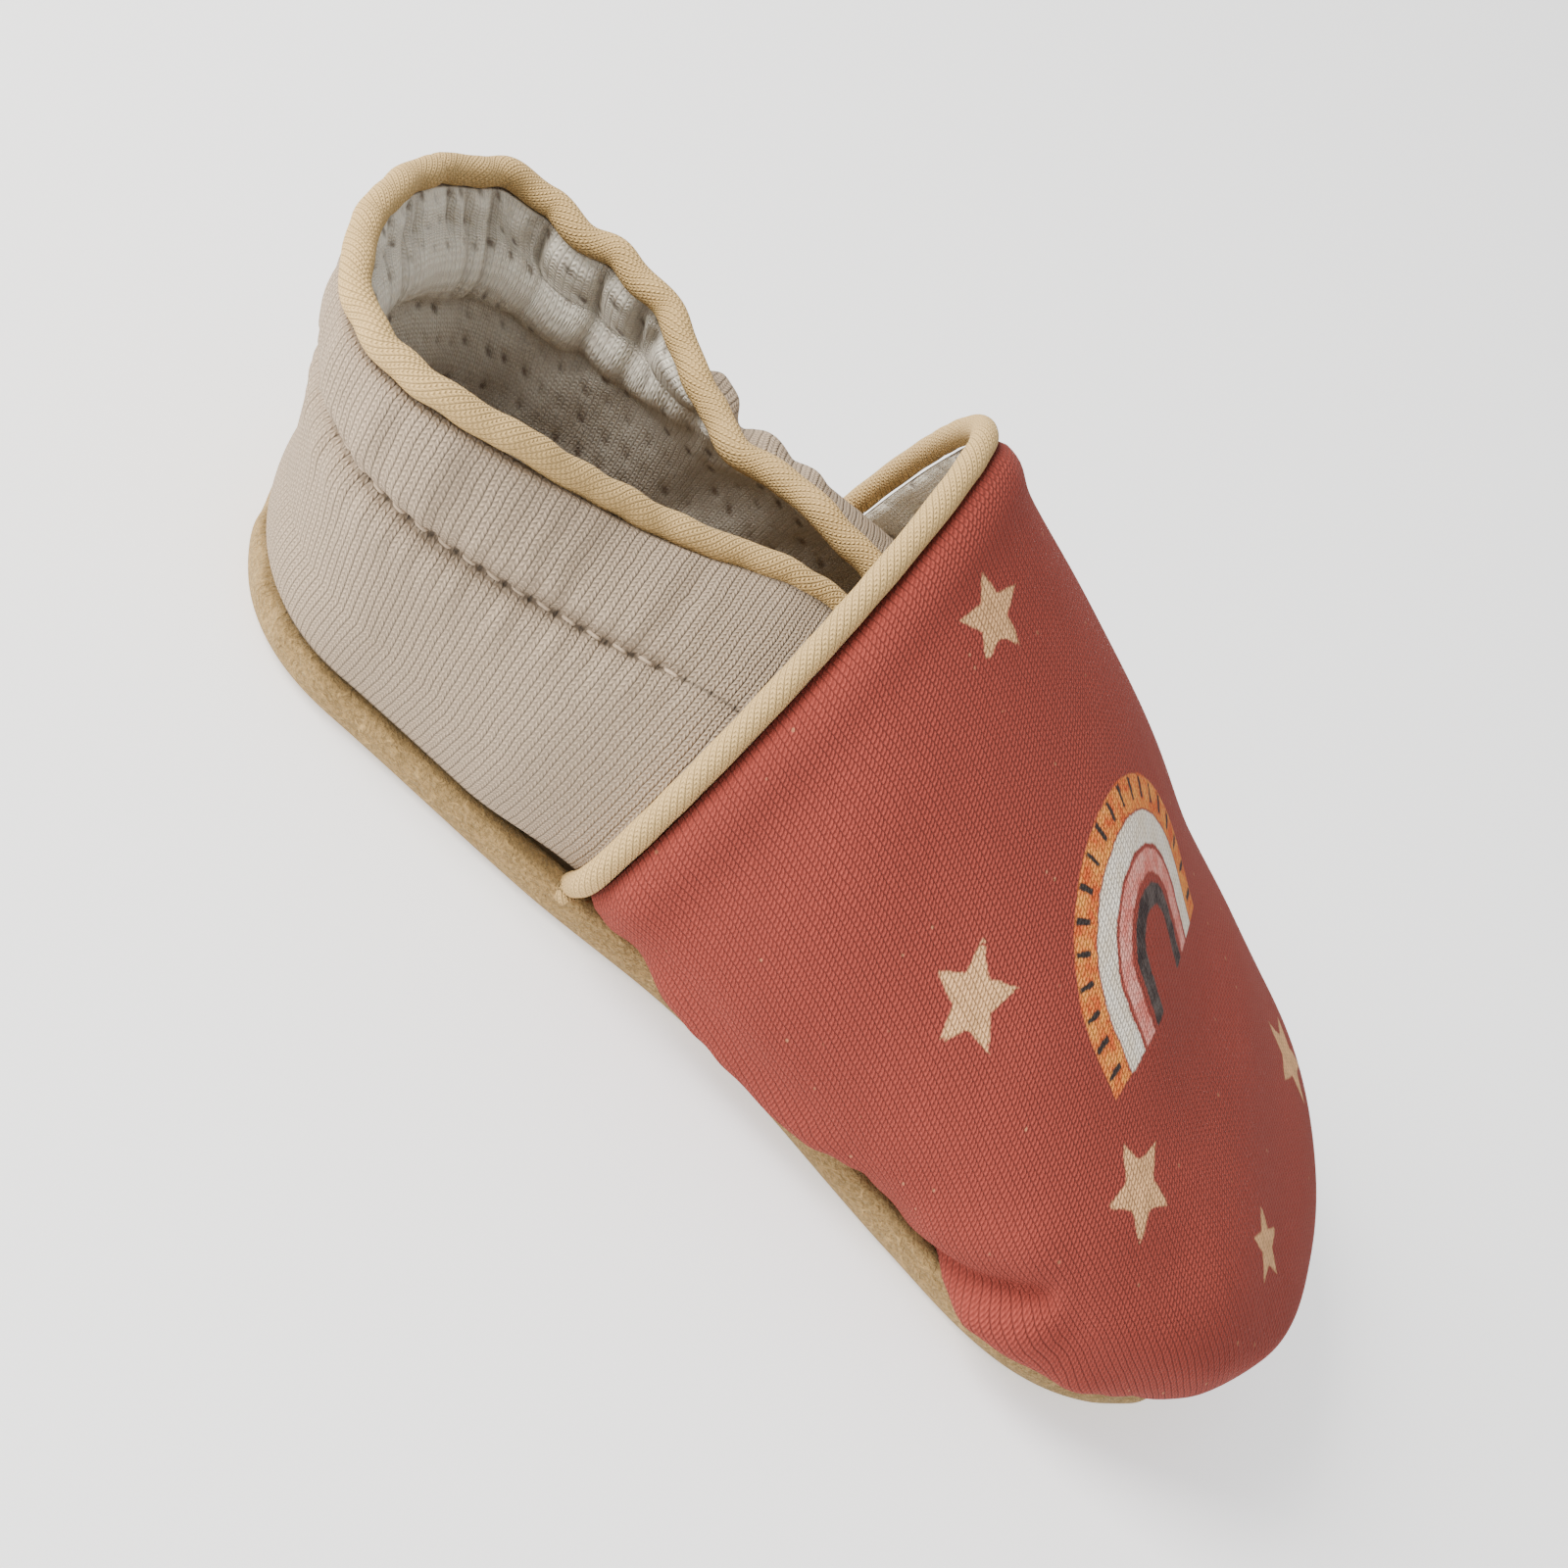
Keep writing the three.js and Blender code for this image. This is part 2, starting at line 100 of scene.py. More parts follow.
QUARTER_EXPONENT = 2.4
HEEL_SHARE = 0.45
SKIRT_SHARE = 0.2

# The plan, the vamp's ridge and the collar, as the solids have them.
PLAN = {
    "at": (0.0, 0.15, 0.34, 0.5, 0.7, 0.84, 1.0),
    "seam": (0.338, 0.338, 0.372, 0.387, 0.44, 0.444, 0.419),
    "girth": (0.379, 0.379, 0.426, 0.488, 0.501, 0.498, 0.473),
    "sway": (-0.008, 0.0, 0.019, 0.042, 0.008, -0.035, -0.047),
}
RIDGE = {
    "at": (0.0, 0.2, 0.42, 0.62, 0.76, 0.88, 1.0),
    "height": (1.0, 0.856, 0.711, 0.543, 0.455, 0.399, 0.344),
    "round": (1.68, 1.93, 2.0, 2.2, 2.4, 2.5, 2.5),
}
COLLAR = {
    "at": (0.0, 0.25, 0.45, 0.62, 0.8, 1.0),
    "width": (0.975, 0.94, 0.81, 0.48, 0.26, 0.17),
    "height": (1.0, 0.98, 1.035, 1.015, 1.08, 1.02),
    "casing": (1.0, 1.02, 1.15, 0.85, 0.73, 0.55),
}

# Gathers of the elastic collar: place along it, half width there, and push out and up in mm.
GATHERS = (
    {"at": -0.84, "half": 0.05, "out": 0.5, "up": 0.3},
    {"at": -0.74, "half": 0.05, "out": -0.6, "up": -0.5},
    {"at": 0.26, "half": 0.07, "out": 0.7, "up": 0.4},
    {"at": 0.39, "half": 0.06, "out": -1.2, "up": -0.6},
    {"at": 0.52, "half": 0.065, "out": 1.1, "up": 0.6},
    {"at": 0.655, "half": 0.055, "out": -1.5, "up": -0.8},
    {"at": 0.77, "half": 0.05, "out": 0.6, "up": 0.3},
)

# Creases of the vamp's cloth, in mm along it from its edge and across it from the ridge to the
# left: where each starts and ends, its half width, and its rise (below zero, a trough).
VAMP_CREASES = (
    {"start": (49.8, -52.8), "end": (59.8, -41.3), "half": 1.5, "rise": -1.7},
    {"start": (54.0, -53.5), "end": (63.2, -43.0), "half": 2.6, "rise": 1.1},
    {"start": (46.5, -49.5), "end": (57.0, -38.5), "half": 2.6, "rise": 0.7},
    {"start": (62.0, -42.0), "end": (70.0, -24.0), "half": 4.5, "rise": -0.7},
    {"start": (70.0, 38.0), "end": (82.0, 30.0), "half": 2.2, "rise": -0.9},
    {"start": (18.0, -30.0), "end": (40.0, -34.0), "half": 5.0, "rise": -0.5},
    {"start": (30.0, -8.0), "end": (58.0, -18.0), "half": 7.0, "rise": 0.45},
    {"start": (22.0, 20.0), "end": (46.0, 28.0), "half": 6.0, "rise": -0.55},
)

# Uneven waves of the cloth: rise in mm, or as a share of what it waves, spacing in mm, and the
# seed of its wander.
WAVES = {
    "vamp seam": {"rise": 0.1, "spacing": 5.2, "seed": 0.4},
    "vamp face": {"rise": 0.18, "spacing": 27.0, "seed": 1.2},
    "vamp lining": {"rise": 0.25, "spacing": 9.0, "seed": 0.7},
    "casing": {"rise": 0.5, "spacing": 7.4, "seed": 0.3},
    "casing, finer": {"rise": 0.2, "spacing": 3.6, "seed": 1.9},
    "slack casing": {"rise": 0.5, "spacing": 5.4, "seed": 0.6},
    "under the casing": {"rise": 0.3, "spacing": 5.6, "seed": 1.1},
    "lining band's edge": {"rise": 0.5, "spacing": 13.0, "seed": 1.1},
    "lining band": {"rise": 0.15, "spacing": 6.3, "seed": 0.9},
    "lining wall": {"rise": 0.3, "spacing": 11.0, "seed": 0.2},
    "lining pinch": {"rise": 0.5, "spacing": 5.2, "seed": 2.0},
    "collar cord out": {"rise": 0.12, "spacing": 9.0, "seed": 0.5},
    "collar cord up": {"rise": 0.1, "spacing": 6.0, "seed": 1.5},
    "collar cord round": {"rise": 0.025, "spacing": 5.0, "seed": 2.2},
    "vamp cord round": {"rise": 0.02, "spacing": 6.0, "seed": 0.9},
    "sole rim": {"rise": 0.28, "spacing": 6.0, "seed": 0.3},
}

# Pulls (rise below zero) and swells of the cloth beside a line, in mm: how far from the line
# each lies, its half width, its rise, and how much of that the stitches add in their beat.
WELTS = {
    "vamp edge": (
        {"at": 0.0, "half": 0.8, "rise": -0.8, "beat": 0.0},
        {"at": 3.4, "half": 2.3, "rise": 0.55, "beat": 0.0},
    ),
    "vamp seam": ({"at": 0.0, "half": 1.0, "rise": -0.6, "beat": 0.0},),
    "stitch line": (
        {"at": -2.0, "half": 1.4, "rise": 0.35, "beat": 0.1},
        {"at": 2.3, "half": 1.7, "rise": 0.4, "beat": 0.1},
    ),
    "stitch groove": ({"at": 0.0, "half": 0.55, "rise": -0.7, "beat": 0.2},),
    "quarter seam": ({"at": 0.0, "half": 0.9, "rise": -0.5, "beat": 0.0},),
    "collar": ({"at": 0.0, "half": 0.8, "rise": -0.7, "beat": 0.0},),
}

# Where the vamp's belly hangs over the sole, in mm from the heel, and how far out; and how high
# above the seam it does.
OVERHANGS = (
    {"start": 52.0, "end": 86.0, "fade": 10.0, "out": 2.7},
    {"start": 92.0, "end": 119.0, "fade": 9.0, "out": 1.7},
)
OVERHANG_ABOVE = 3.2
OVERHANG_HALF = 2.8

# The puffy band of the lining over the elastic, in mm down from the collar, and the folds in it:
# how many each side of the back, and their spacing, reach down the wall and depth in mm.
LINING_BAND = 13.0
FOLDS = {"count": 18, "spacing": 4.4, "reach": 12.5, "depth": 1.05}

# The print: stars by place on the vamp's cloth, size and turn, and one rainbow on the ridge.
STARS = (
    {"at": (10.0, -12.0), "size": 4.6, "turn": 0.3},
    {"at": (33.0, -34.0), "size": 5.2, "turn": 1.0},
    {"at": (60.0, -27.0), "size": 4.8, "turn": 0.55},
    {"at": (79.0, -12.0), "size": 3.8, "turn": 0.1},
    {"at": (14.0, 22.0), "size": 5.0, "turn": 0.8},
    {"at": (48.0, 33.0), "size": 4.6, "turn": 0.2},
    {"at": (76.0, 17.0), "size": 5.2, "turn": 0.9},
)
RAINBOW_AT = (47.0, -10.0)
RAINBOW_LEG = 5.0
RAINBOW_BANDS = (
    {"inner": 12.0, "outer": 15.2, "dark": "D25A2A", "light": "EE9A45"},
    {"inner": 8.9, "outer": 11.8, "dark": "E9DCC6", "light": "F6EEDF"},
    {"inner": 6.3, "outer": 8.4, "dark": "D9776B", "light": "EFA79A"},
    {"inner": 3.4, "outer": 5.4, "dark": "2E2A2B", "light": "5A5350"},
)
TICKS = {"spacing": 1.5, "half": 0.3, "inner": 12.9, "outer": 15.0, "dye": "35302E"}


def length_property(name, description, length):
    """A length setting, from its default in mm"""
    return FloatProperty(name=name, description=description, default=length * MM, unit="LENGTH")


class SlipperSizes(bpy.types.PropertyGroup):
    """Sizes of the cloth and thread that a user may change"""

    rib: length_property("Rib", "Spacing of the ribs in the heel quarter's jersey", 0.8)
    wale: length_property("Wale", "Spacing of the columns of stitches in the vamp's jersey", 0.78)
    stitch: length_property("Stitch", "Length of a machine stitch with its gap", 2.6)
    thread: length_property("Thread", "Thickness of the sewing thread", 0.42)


def hex_to_linear(text):
    """The linear RGB of an sRGB hex colour"""
    share = np.array([int(text[i : i + 2], 16) for i in (0, 2, 4)]) / 255
    linear = np.where(share <= 0.04045, share / 12.92, ((share + 0.055) / 1.055) ** 2.4)
    return tuple(float(v) for v in linear)


def colour_property(name, description, text):
    """A colour setting, from its default in sRGB hex"""
    default = hex_to_linear(text)
    kind = {"subtype": "COLOR", "size": 3, "min": 0, "max": 1}
    return FloatVectorProperty(name=name, description=description, default=default, **kind)


class SlipperColours(bpy.types.PropertyGroup):
    """Colours of the materials"""

    coral: colour_property("Coral", "Ground of the printed jersey", "954036")
    grey: colour_property("Warm grey", "Ribbed jersey of the heel quarter", "BCA78F")
    sand: colour_property("Sand", "Jersey of the pipings", "DAB67A")
    cream: colour_property("Cream", "Pointelle lining", "FFF3E3")
    suede: colour_property("Suede", "Sole", "AC8D5B")
    felt: colour_property("Felt", "Footbed", "A88C6C")
    peach: colour_property("Peach", "Stars of the print", "DDAC7A")


# Curves and outlines of the last.


def ease(share):
    """Smooth step from 0 to 1"""
    t = np.clip(share, 0, 1)
    return t * t * (3 - 2 * t)


def mix(a, b, share):
    return a + (b - a) * share


def bell(distance, spread):
    """A bump of height 1: e to the minus square of distance over spread"""
    return np.exp(-((distance / spread) ** 2))


def read_table(rows, column, at):
    """Cubic curve through a column, with each row's slope taken from the rows beside it"""
    x = np.asarray(rows["at"], float)
    y = np.asarray(rows[column], float)
    place = np.clip(at, x[0], x[-1])
    low = np.clip(np.searchsorted(x, place, side="right") - 1, 0, len(x) - 2)
    below = np.maximum(np.arange(len(x)) - 1, 0)
    above = np.minimum(np.arange(len(x)) + 1, len(x) - 1)
    slope = (y[above] - y[below]) / (x[above] - x[below])
    span = x[low + 1] - x[low]
    t = (place - x[low]) / span
    leave = t * (1 - t) ** 2 * span * slope[low]
    arrive = t * t * (1 - t) * span * slope[low + 1]
    return mix(y[low], y[low + 1], ease(t)) + leave - arrive


def rounded_end(distance, round_length, exponent):
    """Share of full width at a distance from a superellipse end"""
    t = np.clip(1 - distance / round_length, 0, 1)
    return (1 - t**exponent) ** (1 / exponent)


def half_width(column, x, setback, inset):
    """Half width of a plan outline at x, drawn in by an inset"""
    width = read_table(PLAN, column, x / LENGTH) * BALL_WIDTH - inset
    return width * rounded_end(LENGTH - setback - inset - x, TOE_ROUND, TOE_EXPONENT)


def centre_line(x):
    return read_table(PLAN, "sway", x / LENGTH) * BALL_WIDTH


def vamp_edge(z):
    """Distance of the vamp's edge from the heel at a height"""
    return mix(VAMP_EDGE_FOOT, VAMP_EDGE_TOP, (z - SEAM_HEIGHT) / (INSTEP_HEIGHT - SEAM_HEIGHT))


def along_ridge(x):
    return (x - VAMP_EDGE_TOP) / (LENGTH - VAMP_EDGE_TOP)


def ridge_height(x, inset):
    open_height = read_table(RIDGE, "height", along_ridge(x)) * INSTEP_HEIGHT - inset
    return mix(GIRTH_HEIGHT, open_height, rounded_end(LENGTH - inset - x, TOE_CAP, 2))


def vamp_surface(shares, arch_steps, skirt_steps, inset):
    """The vamp at an inset: rows run from its edge (share 0) to the toe (1), columns from the
    right seam over the arch to the left seam. Above the girth a row is a superellipse between
    the girth's half width and the ridge's height; below, it goes in to the seam as a power."""
    reach = np.sin(np.asarray(shares) * math.pi / 2)[:, None]
    toe = LENGTH - inset
    ridge_x = mix(VAMP_EDGE_TOP, toe, reach)
    power = 2 / read_table(RIDGE, "round", along_ridge(ridge_x))
    angle = np.linspace(0, math.pi, arch_steps + 1)[None]
    rise = np.sin(angle).clip(0) ** power
    rise[:, [0, -1]] = 0
    across = -np.sign(np.cos(angle)) * np.abs(np.cos(angle)) ** power
    z = mix(GIRTH_HEIGHT, ridge_height(ridge_x, inset), rise)
    x = mix(vamp_edge(z), toe, reach)
    arch = np.stack([x, centre_line(x) + across * half_width("girth", x, 0, inset), z], -1)
    seam_x = mix(VAMP_EDGE_FOOT, toe - SEAM_SETBACK, reach)
    seam_half = half_width("seam", seam_x, SEAM_SETBACK, inset)
    down = np.linspace(1, 0, skirt_steps, endpoint=False)[None]
    sides = []
    for side, girth in ((-1, arch[:, :1]), (1, arch[:, -1:])):
        seam_y = centre_line(seam_x) + side * seam_half
        skirt_z = mix(GIRTH_HEIGHT, SEAM_HEIGHT + SEAM_GAP, down) + 0 * seam_x
        belly = mix(EDGE_BELLY, SKIRT_BELLY, ease((seam_x - VAMP_EDGE_FOOT) / BELLY_EASE))
        tucked_in = down**belly
        skirt_x = mix(girth[..., 0], seam_x, tucked_in)
        skirt_y = mix(girth[..., 1], seam_y, tucked_in)
        sides.append(np.stack([skirt_x, skirt_y, skirt_z], -1))
    return np.concatenate([sides[0], arch, sides[1][:, ::-1]], 1)


def tuck_share(x):
    """How far the quarter has tucked in at x, to lie under the vamp at 1"""
    reached = VAMP_EDGE_TOP - 2 * VAMP_PIPING_RADIUS - 2 * SEAM_GAP
    return ease((x - reached + LAP_EASE) / LAP_EASE)


def gather_at(place, column):
    """Sum of the gathers' cosine humps at a place along the collar"""
    total = 0 * place
    for fold in GATHERS:
        t = np.clip((place - fold["at"]) / fold["half"], -1, 1)
        total = total + fold[column] * 0.5 * (1 + np.cos(math.pi * t))
    return total


def quarter_outline(column, place, setback):
    """Plan point of the quarter at a place from the right wing (-1) round the back (0) to the
    left wing (1), with the centre-line point that it faces: a quarter superellipse at the
    heel, then the plan's half width along the wings."""
    side = np.where(place < 0, -1.0, 1.0)
    along = np.abs(place)
    front = VAMP_EDGE_FOOT + QUARTER_LAP
    wing_x = mix(HEEL_ROUND, front, (along - HEEL_SHARE) / (1 - HEEL_SHARE))
    tuck = (VAMP_WALL + SEAM_GAP) * tuck_share(wing_x)
    wing_half = half_width(column, wing_x, setback, tuck)
    angle = np.clip(along / HEEL_SHARE, 0, 1) * math.pi / 2
    power = 2 / HEEL_EXPONENT
    heel_x = HEEL_ROUND - (HEEL_ROUND - setback) * np.cos(angle).clip(0) ** power
    heel_half = half_width(column, HEEL_ROUND, setback, 0) * np.sin(angle).clip(0) ** power
    wing = along >= HEEL_SHARE
    x = np.where(wing, wing_x, heel_x)
    y = centre_line(x) + side * np.where(wing, wing_half, heel_half)
    centre_x = np.where(wing, wing_x, HEEL_ROUND)
    return x, y, centre_x, centre_line(centre_x)


def collar_section(place):
    """Rise of the collar over the girth, and the angle and crown of the superellipse there"""
    along = np.abs(place)
    power = 2 / QUARTER_EXPONENT
    rise = read_table(COLLAR, "height", along) * COLLAR_HEIGHT - GIRTH_HEIGHT
    angle = np.arccos(read_table(COLLAR, "width", along) ** (1 / power))
    return rise, angle, rise / np.sin(angle) ** power


def casing_drop(place):
    """How far the stitch line of the elastic's casing lies below the collar, in height"""
    return read_table(COLLAR, "casing", np.abs(place)) * CASING_DEPTH


def rise_at_casing(place):
    """The quarter's rise at the casing's stitch line"""
    rise, angle, crown = collar_section(place)
    up = np.arcsin(((rise - casing_drop(place)) / crown) ** (QUARTER_EXPONENT / 2)) / angle
    return mix(SKIRT_SHARE, 1, up)


def quarter_surface(place, rise):
    """The quarter's outer face. The rise runs from the seam (0) over the girth to the collar
    (1): a parabola below the girth, then a superellipse that leans in to the collar's width,
    with the casing's swell, the stitch line's pinch, the gathers and the collar's lean."""
    x, y, centre_x, centre_y = quarter_outline("girth", place, 0)
    seam_x, seam_y = quarter_outline("seam", place, SEAM_SETBACK)[:2]
    down = np.clip(1 - rise / SKIRT_SHARE, 0, 1)
    collar_rise, collar_angle, crown = collar_section(place)
    power = 2 / QUARTER_EXPONENT
    up = np.clip((rise - SKIRT_SHARE) / (1 - SKIRT_SHARE), 0, 1)
    climb = crown * np.sin(collar_angle * up) ** power
    below = collar_rise - climb
    casing = casing_drop(place)
    swell = CASING_SWELL * np.sin(math.pi * np.clip(below / casing, 0, 1))
    gather = ease(1.2 * up - 0.2)
    loose = 1 - tuck_share(x)
    out = swell - bell(below - casing, PINCH_SPREAD) + gather_at(place, "out") * gather
    dx = x - centre_x
    dy = y - centre_y
    reach = np.cos(collar_angle * up) ** power + np.where(up > 0, out * loose / np.hypot(dx, dy), 0)
    back = COLLAR_LEAN * ease(1 - x / VAMP_EDGE_TOP) * climb / collar_rise
    lift = gather_at(place, "up") * gather**2 * loose
    upper = [centre_x + dx * reach - back, centre_y + dy * reach, GIRTH_HEIGHT + climb + lift]
    skirt_z = mix(GIRTH_HEIGHT, SEAM_HEIGHT + SEAM_GAP, down)
    skirt = [mix(x, seam_x, down**2), mix(y, seam_y, down**2), skirt_z]
    tucked_under = (rise < SKIRT_SHARE)[..., None]
    return np.where(tucked_under, np.stack(skirt, -1), np.stack(upper, -1))


def seam_outline(inset, stations):
    """Closed outline of the sole seam, drawn in by an inset, anticlockwise from the heel"""
    heel = SEAM_SETBACK + inset
    toe = LENGTH - SEAM_SETBACK - inset
    x = mix(heel, toe, (1 - np.cos(np.linspace(0, math.pi, stations + 1))) / 2)
    heel_end = rounded_end(x - heel, HEEL_ROUND - SEAM_SETBACK, HEEL_EXPONENT)
    half = half_width("seam", x, SEAM_SETBACK, inset) * heel_end
    right = np.stack([x, centre_line(x) - half], -1)
    left = np.stack([x, centre_line(x) + half], -1)
    return np.concatenate([right, left[-2:0:-1]])


def frame_shift():
    """Where the heel-based millimetres start in the frame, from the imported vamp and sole"""
    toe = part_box("vamp")[1][0] / MM
    low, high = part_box("sole")
    outline_y = seam_outline(-0.15 * SOLE_WALL, 200)[:, 1]
    middle = (outline_y.min() + outline_y.max()) / 2
    return np.array([toe - LENGTH, (low[1] + high[1]) / 2 / MM - middle, 0.0])


SHIFT = frame_shift()


# Surfaces to meshes.


def unit(vectors):
    """The vectors, each scaled to length 1"""
    return vectors / np.linalg.norm(vectors, axis=-1, keepdims=True)


def normals(grid, wrap=False):
    """Unit normals of a grid: the cross product of its row and column differences"""
    if wrap:
        ring = np.concatenate([grid[:, -1:], grid, grid[:, :1]], 1)
        across = np.gradient(ring, axis=1)[:, 1:-1]
    else:
        across = np.gradient(grid, axis=1)
    cross = np.cross(np.gradient(grid, axis=0), across)
    size = np.linalg.norm(cross, axis=-1, keepdims=True)
    return cross / np.maximum(size, 1e-9)


def run_lengths(grid, axis):
    """Length run along a grid's axis up to each point, in mm"""
    steps = np.linalg.norm(np.diff(grid, axis=axis), axis=-1)
    pad = [(0, 0), (0, 0)]
    pad[axis] = (1, 0)
    return np.cumsum(np.pad(steps, pad), axis)


def quads(rows, columns, start=0, wrap=False):
    """Corners of a grid's faces, (i, j), (i+1, j), (i+1, j+1), (i, j+1), as vertex numbers"""
    across = columns if wrap else columns - 1
    i, j = np.meshgrid(np.arange(rows - 1), np.arange(across), indexing="ij")
    k = (j + 1) % columns
    row, beyond = i * columns, (i + 1) * columns
    corners = np.stack([row + j, beyond + j, beyond + k, row + k], -1)
    return corners.reshape(-1, 4) + start


def strip(first, second):
    """Faces between two lines of vertex numbers"""
    return np.stack([first[:-1], second[:-1], second[1:], first[1:]], -1)


def make_mesh(name, points, faces, material, uv=None, fields=None, merge=False):
    """Puts points (mm from the heel), four-cornered faces and their uv (mm) into a mesh. The
    fields are numbers or vectors for each point, for the material to read."""
    mesh = bpy.data.meshes.new(name)
    mesh.vertices.add(len(points))
    mesh.vertices.foreach_set("co", ((points + SHIFT) * MM).astype(np.float32).ravel())
    mesh.loops.add(faces.size)
    mesh.loops.foreach_set("vertex_index", faces.astype(np.int32).ravel())
    mesh.polygons.add(len(faces))
    mesh.polygons.foreach_set("loop_start", np.arange(0, faces.size, 4, dtype=np.int32))
    mesh.update(calc_edges=True)
    if uv is not None:
        layer = mesh.uv_layers.new(name="cloth")
        layer.data.foreach_set("uv", uv.astype(np.float32).ravel())
    for key, values in (fields or {}).items():
        vector = values.ndim == 2
        field = mesh.attributes.new(key, "FLOAT_VECTOR" if vector else "FLOAT", "POINT")
        field.data.foreach_set("vector" if vector else "value", values.astype(np.float32).ravel())
    if merge:
        work = bmesh.new()
        work.from_mesh(mesh)
        bmesh.ops.remove_doubles(work, verts=work.verts, dist=0.002 * MM)
        work.to_mesh(mesh)
        work.free()
    mesh.polygons.foreach_set("use_smooth", np.ones(len(mesh.polygons), bool))
    mesh.materials.append(material)
    piece = bpy.data.objects.new(name, mesh)
    bpy.context.scene.collection.objects.link(piece)
    return piece


def shell(name, outer, inner, material, cloth, fields=None, halves_meet=False):
    """A closed shell between two grids, its rim closed all round, but not at the last row where
    its halves meet. The cloth is each grid point's place on the flat cloth, in mm."""
    rows, columns = outer.shape[:2]
    count = rows * columns
    number = np.arange(count).reshape(rows, columns)
    face_sets = [quads(rows, columns), quads(rows, columns, count)[:, ::-1]]
    face_sets.append(strip(number[0] + count, number[0]))
    face_sets.append(strip(number[:, 0], number[:, 0] + count))
    face_sets.append(strip(number[:, -1] + count, number[:, -1]))
    if not halves_meet:
        face_sets.append(strip(number[-1], number[-1] + count))
    faces = np.concatenate(face_sets)
    flat = np.concatenate([cloth.reshape(-1, 2)] * 2)
    both = {}
    for key, values in (fields or {}).items():
        both[key] = np.concatenate([values.reshape(count, -1).squeeze()] * 2)
    points = np.concatenate([outer.reshape(-1, 3), inner.reshape(-1, 3)])
    return make_mesh(name, points, faces, material, flat[faces], both, merge=halves_meet)


def path_frame(path, outward):
    """Directions of a tube's sections: outward, squared to the path, and the one beside it"""
    along = unit(np.gradient(path, axis=0))
    first = unit(outward - along * np.sum(outward * along, 1, keepdims=True))
    return first, np.cross(along, first)


# Sides of a piping's round section.
TUBE_SIDES = 28


def tube(name, path, outward, radius, material):
    """A round section carried along a path and closed to a point at both ends. A point of it is
    the path's plus radius times (cos t outward + sin t sideways). The cloth runs along the
    path, and round it from the side away from the outward direction."""
    stations = len(path)
    sides = TUBE_SIDES
    first, second = path_frame(path, outward)
    turn = np.linspace(math.pi, 3 * math.pi, sides, endpoint=False)[None, :, None]
    ring = np.cos(turn) * first[:, None] + np.sin(turn) * second[:, None]
    grid = path[:, None] + ring * radius[:, None, None]
    ends = [np.repeat(end[:, None], sides, 1) for end in (path[:1], path[-1:])]
    grid = np.concatenate([ends[0], grid, ends[1]])
    faces = quads(stations + 2, sides, wrap=True)[:, ::-1]
    run = run_lengths(grid.mean(1)[None], 1)[0]
    i = np.repeat(np.arange(stations + 1), sides)
    j = np.tile(np.arange(sides), stations + 1)
    around = float(np.mean(radius)) * 2 * math.pi / sides
    order = ((0, 1), (1, 1), (1, 0), (0, 0))
    corner = np.stack([np.stack([run[i + a], (j + b) * around], -1) for a, b in order], 1)
    return make_mesh(name, grid.reshape(-1, 3), faces, material, corner, merge=True)


# Materials.

BLEND = {"data_type": "RGBA"}
MULTIPLY = {"data_type": "RGBA", "blend_type": "MULTIPLY"}
SMOOTH = {"interpolation_type": "SMOOTHSTEP"}

# How far the print's ink bleeds to each side of its edge, in mm.
INK_EDGE = 0.15


def add(tree, kind, settings=None, inputs=None, out=0):
    """Adds a shader node of a kind, sets its settings, and sets each input to a value or links it
    to a socket. The name of an operation may stand alone for the settings."""
    node = tree.nodes.new("ShaderNode" + kind)
    if isinstance(settings, str):
        settings = {"operation": settings}
    for key, value in (settings or {}).items():
        setattr(node, key, value)
    for key, value in (inputs or {}).items():
        if isinstance(value, bpy.types.NodeSocket):
            tree.links.new(value, node.inputs[key])
        else:
            node.inputs[key].default_value = value
    return node.outputs[out] if len(node.outputs) else None


def new_material(name):
    """An empty node material, and its tree"""
    material = bpy.data.materials.new(name)
    material.use_nodes = True
    material.node_tree.nodes.clear()
    return material, material.node_tree


def finish_material(tree, colour, height, depth, roughness, sheen, sheen_tint):
    """Ends a cloth's tree: colour, a bump of a real depth in metres, and the soft edge light
    that loose fibres give"""
    normal = add(tree, "Bump", None, {"Strength": 1.0, "Distance": depth, "Height": height})
    shader = add(
        tree,
        "BsdfPrincipled",
        None,
        {
            "Base Color": colour,
            "Roughness": roughness,
            "Specular IOR Level": 0.25,
            "Sheen Weight": sheen,
            "Sheen Roughness": 0.45,
            "Sheen Tint": (*sheen_tint, 1.0),
            "Normal": normal,
        },
    )
    add(tree, "OutputMaterial", None, {"Surface": shader})


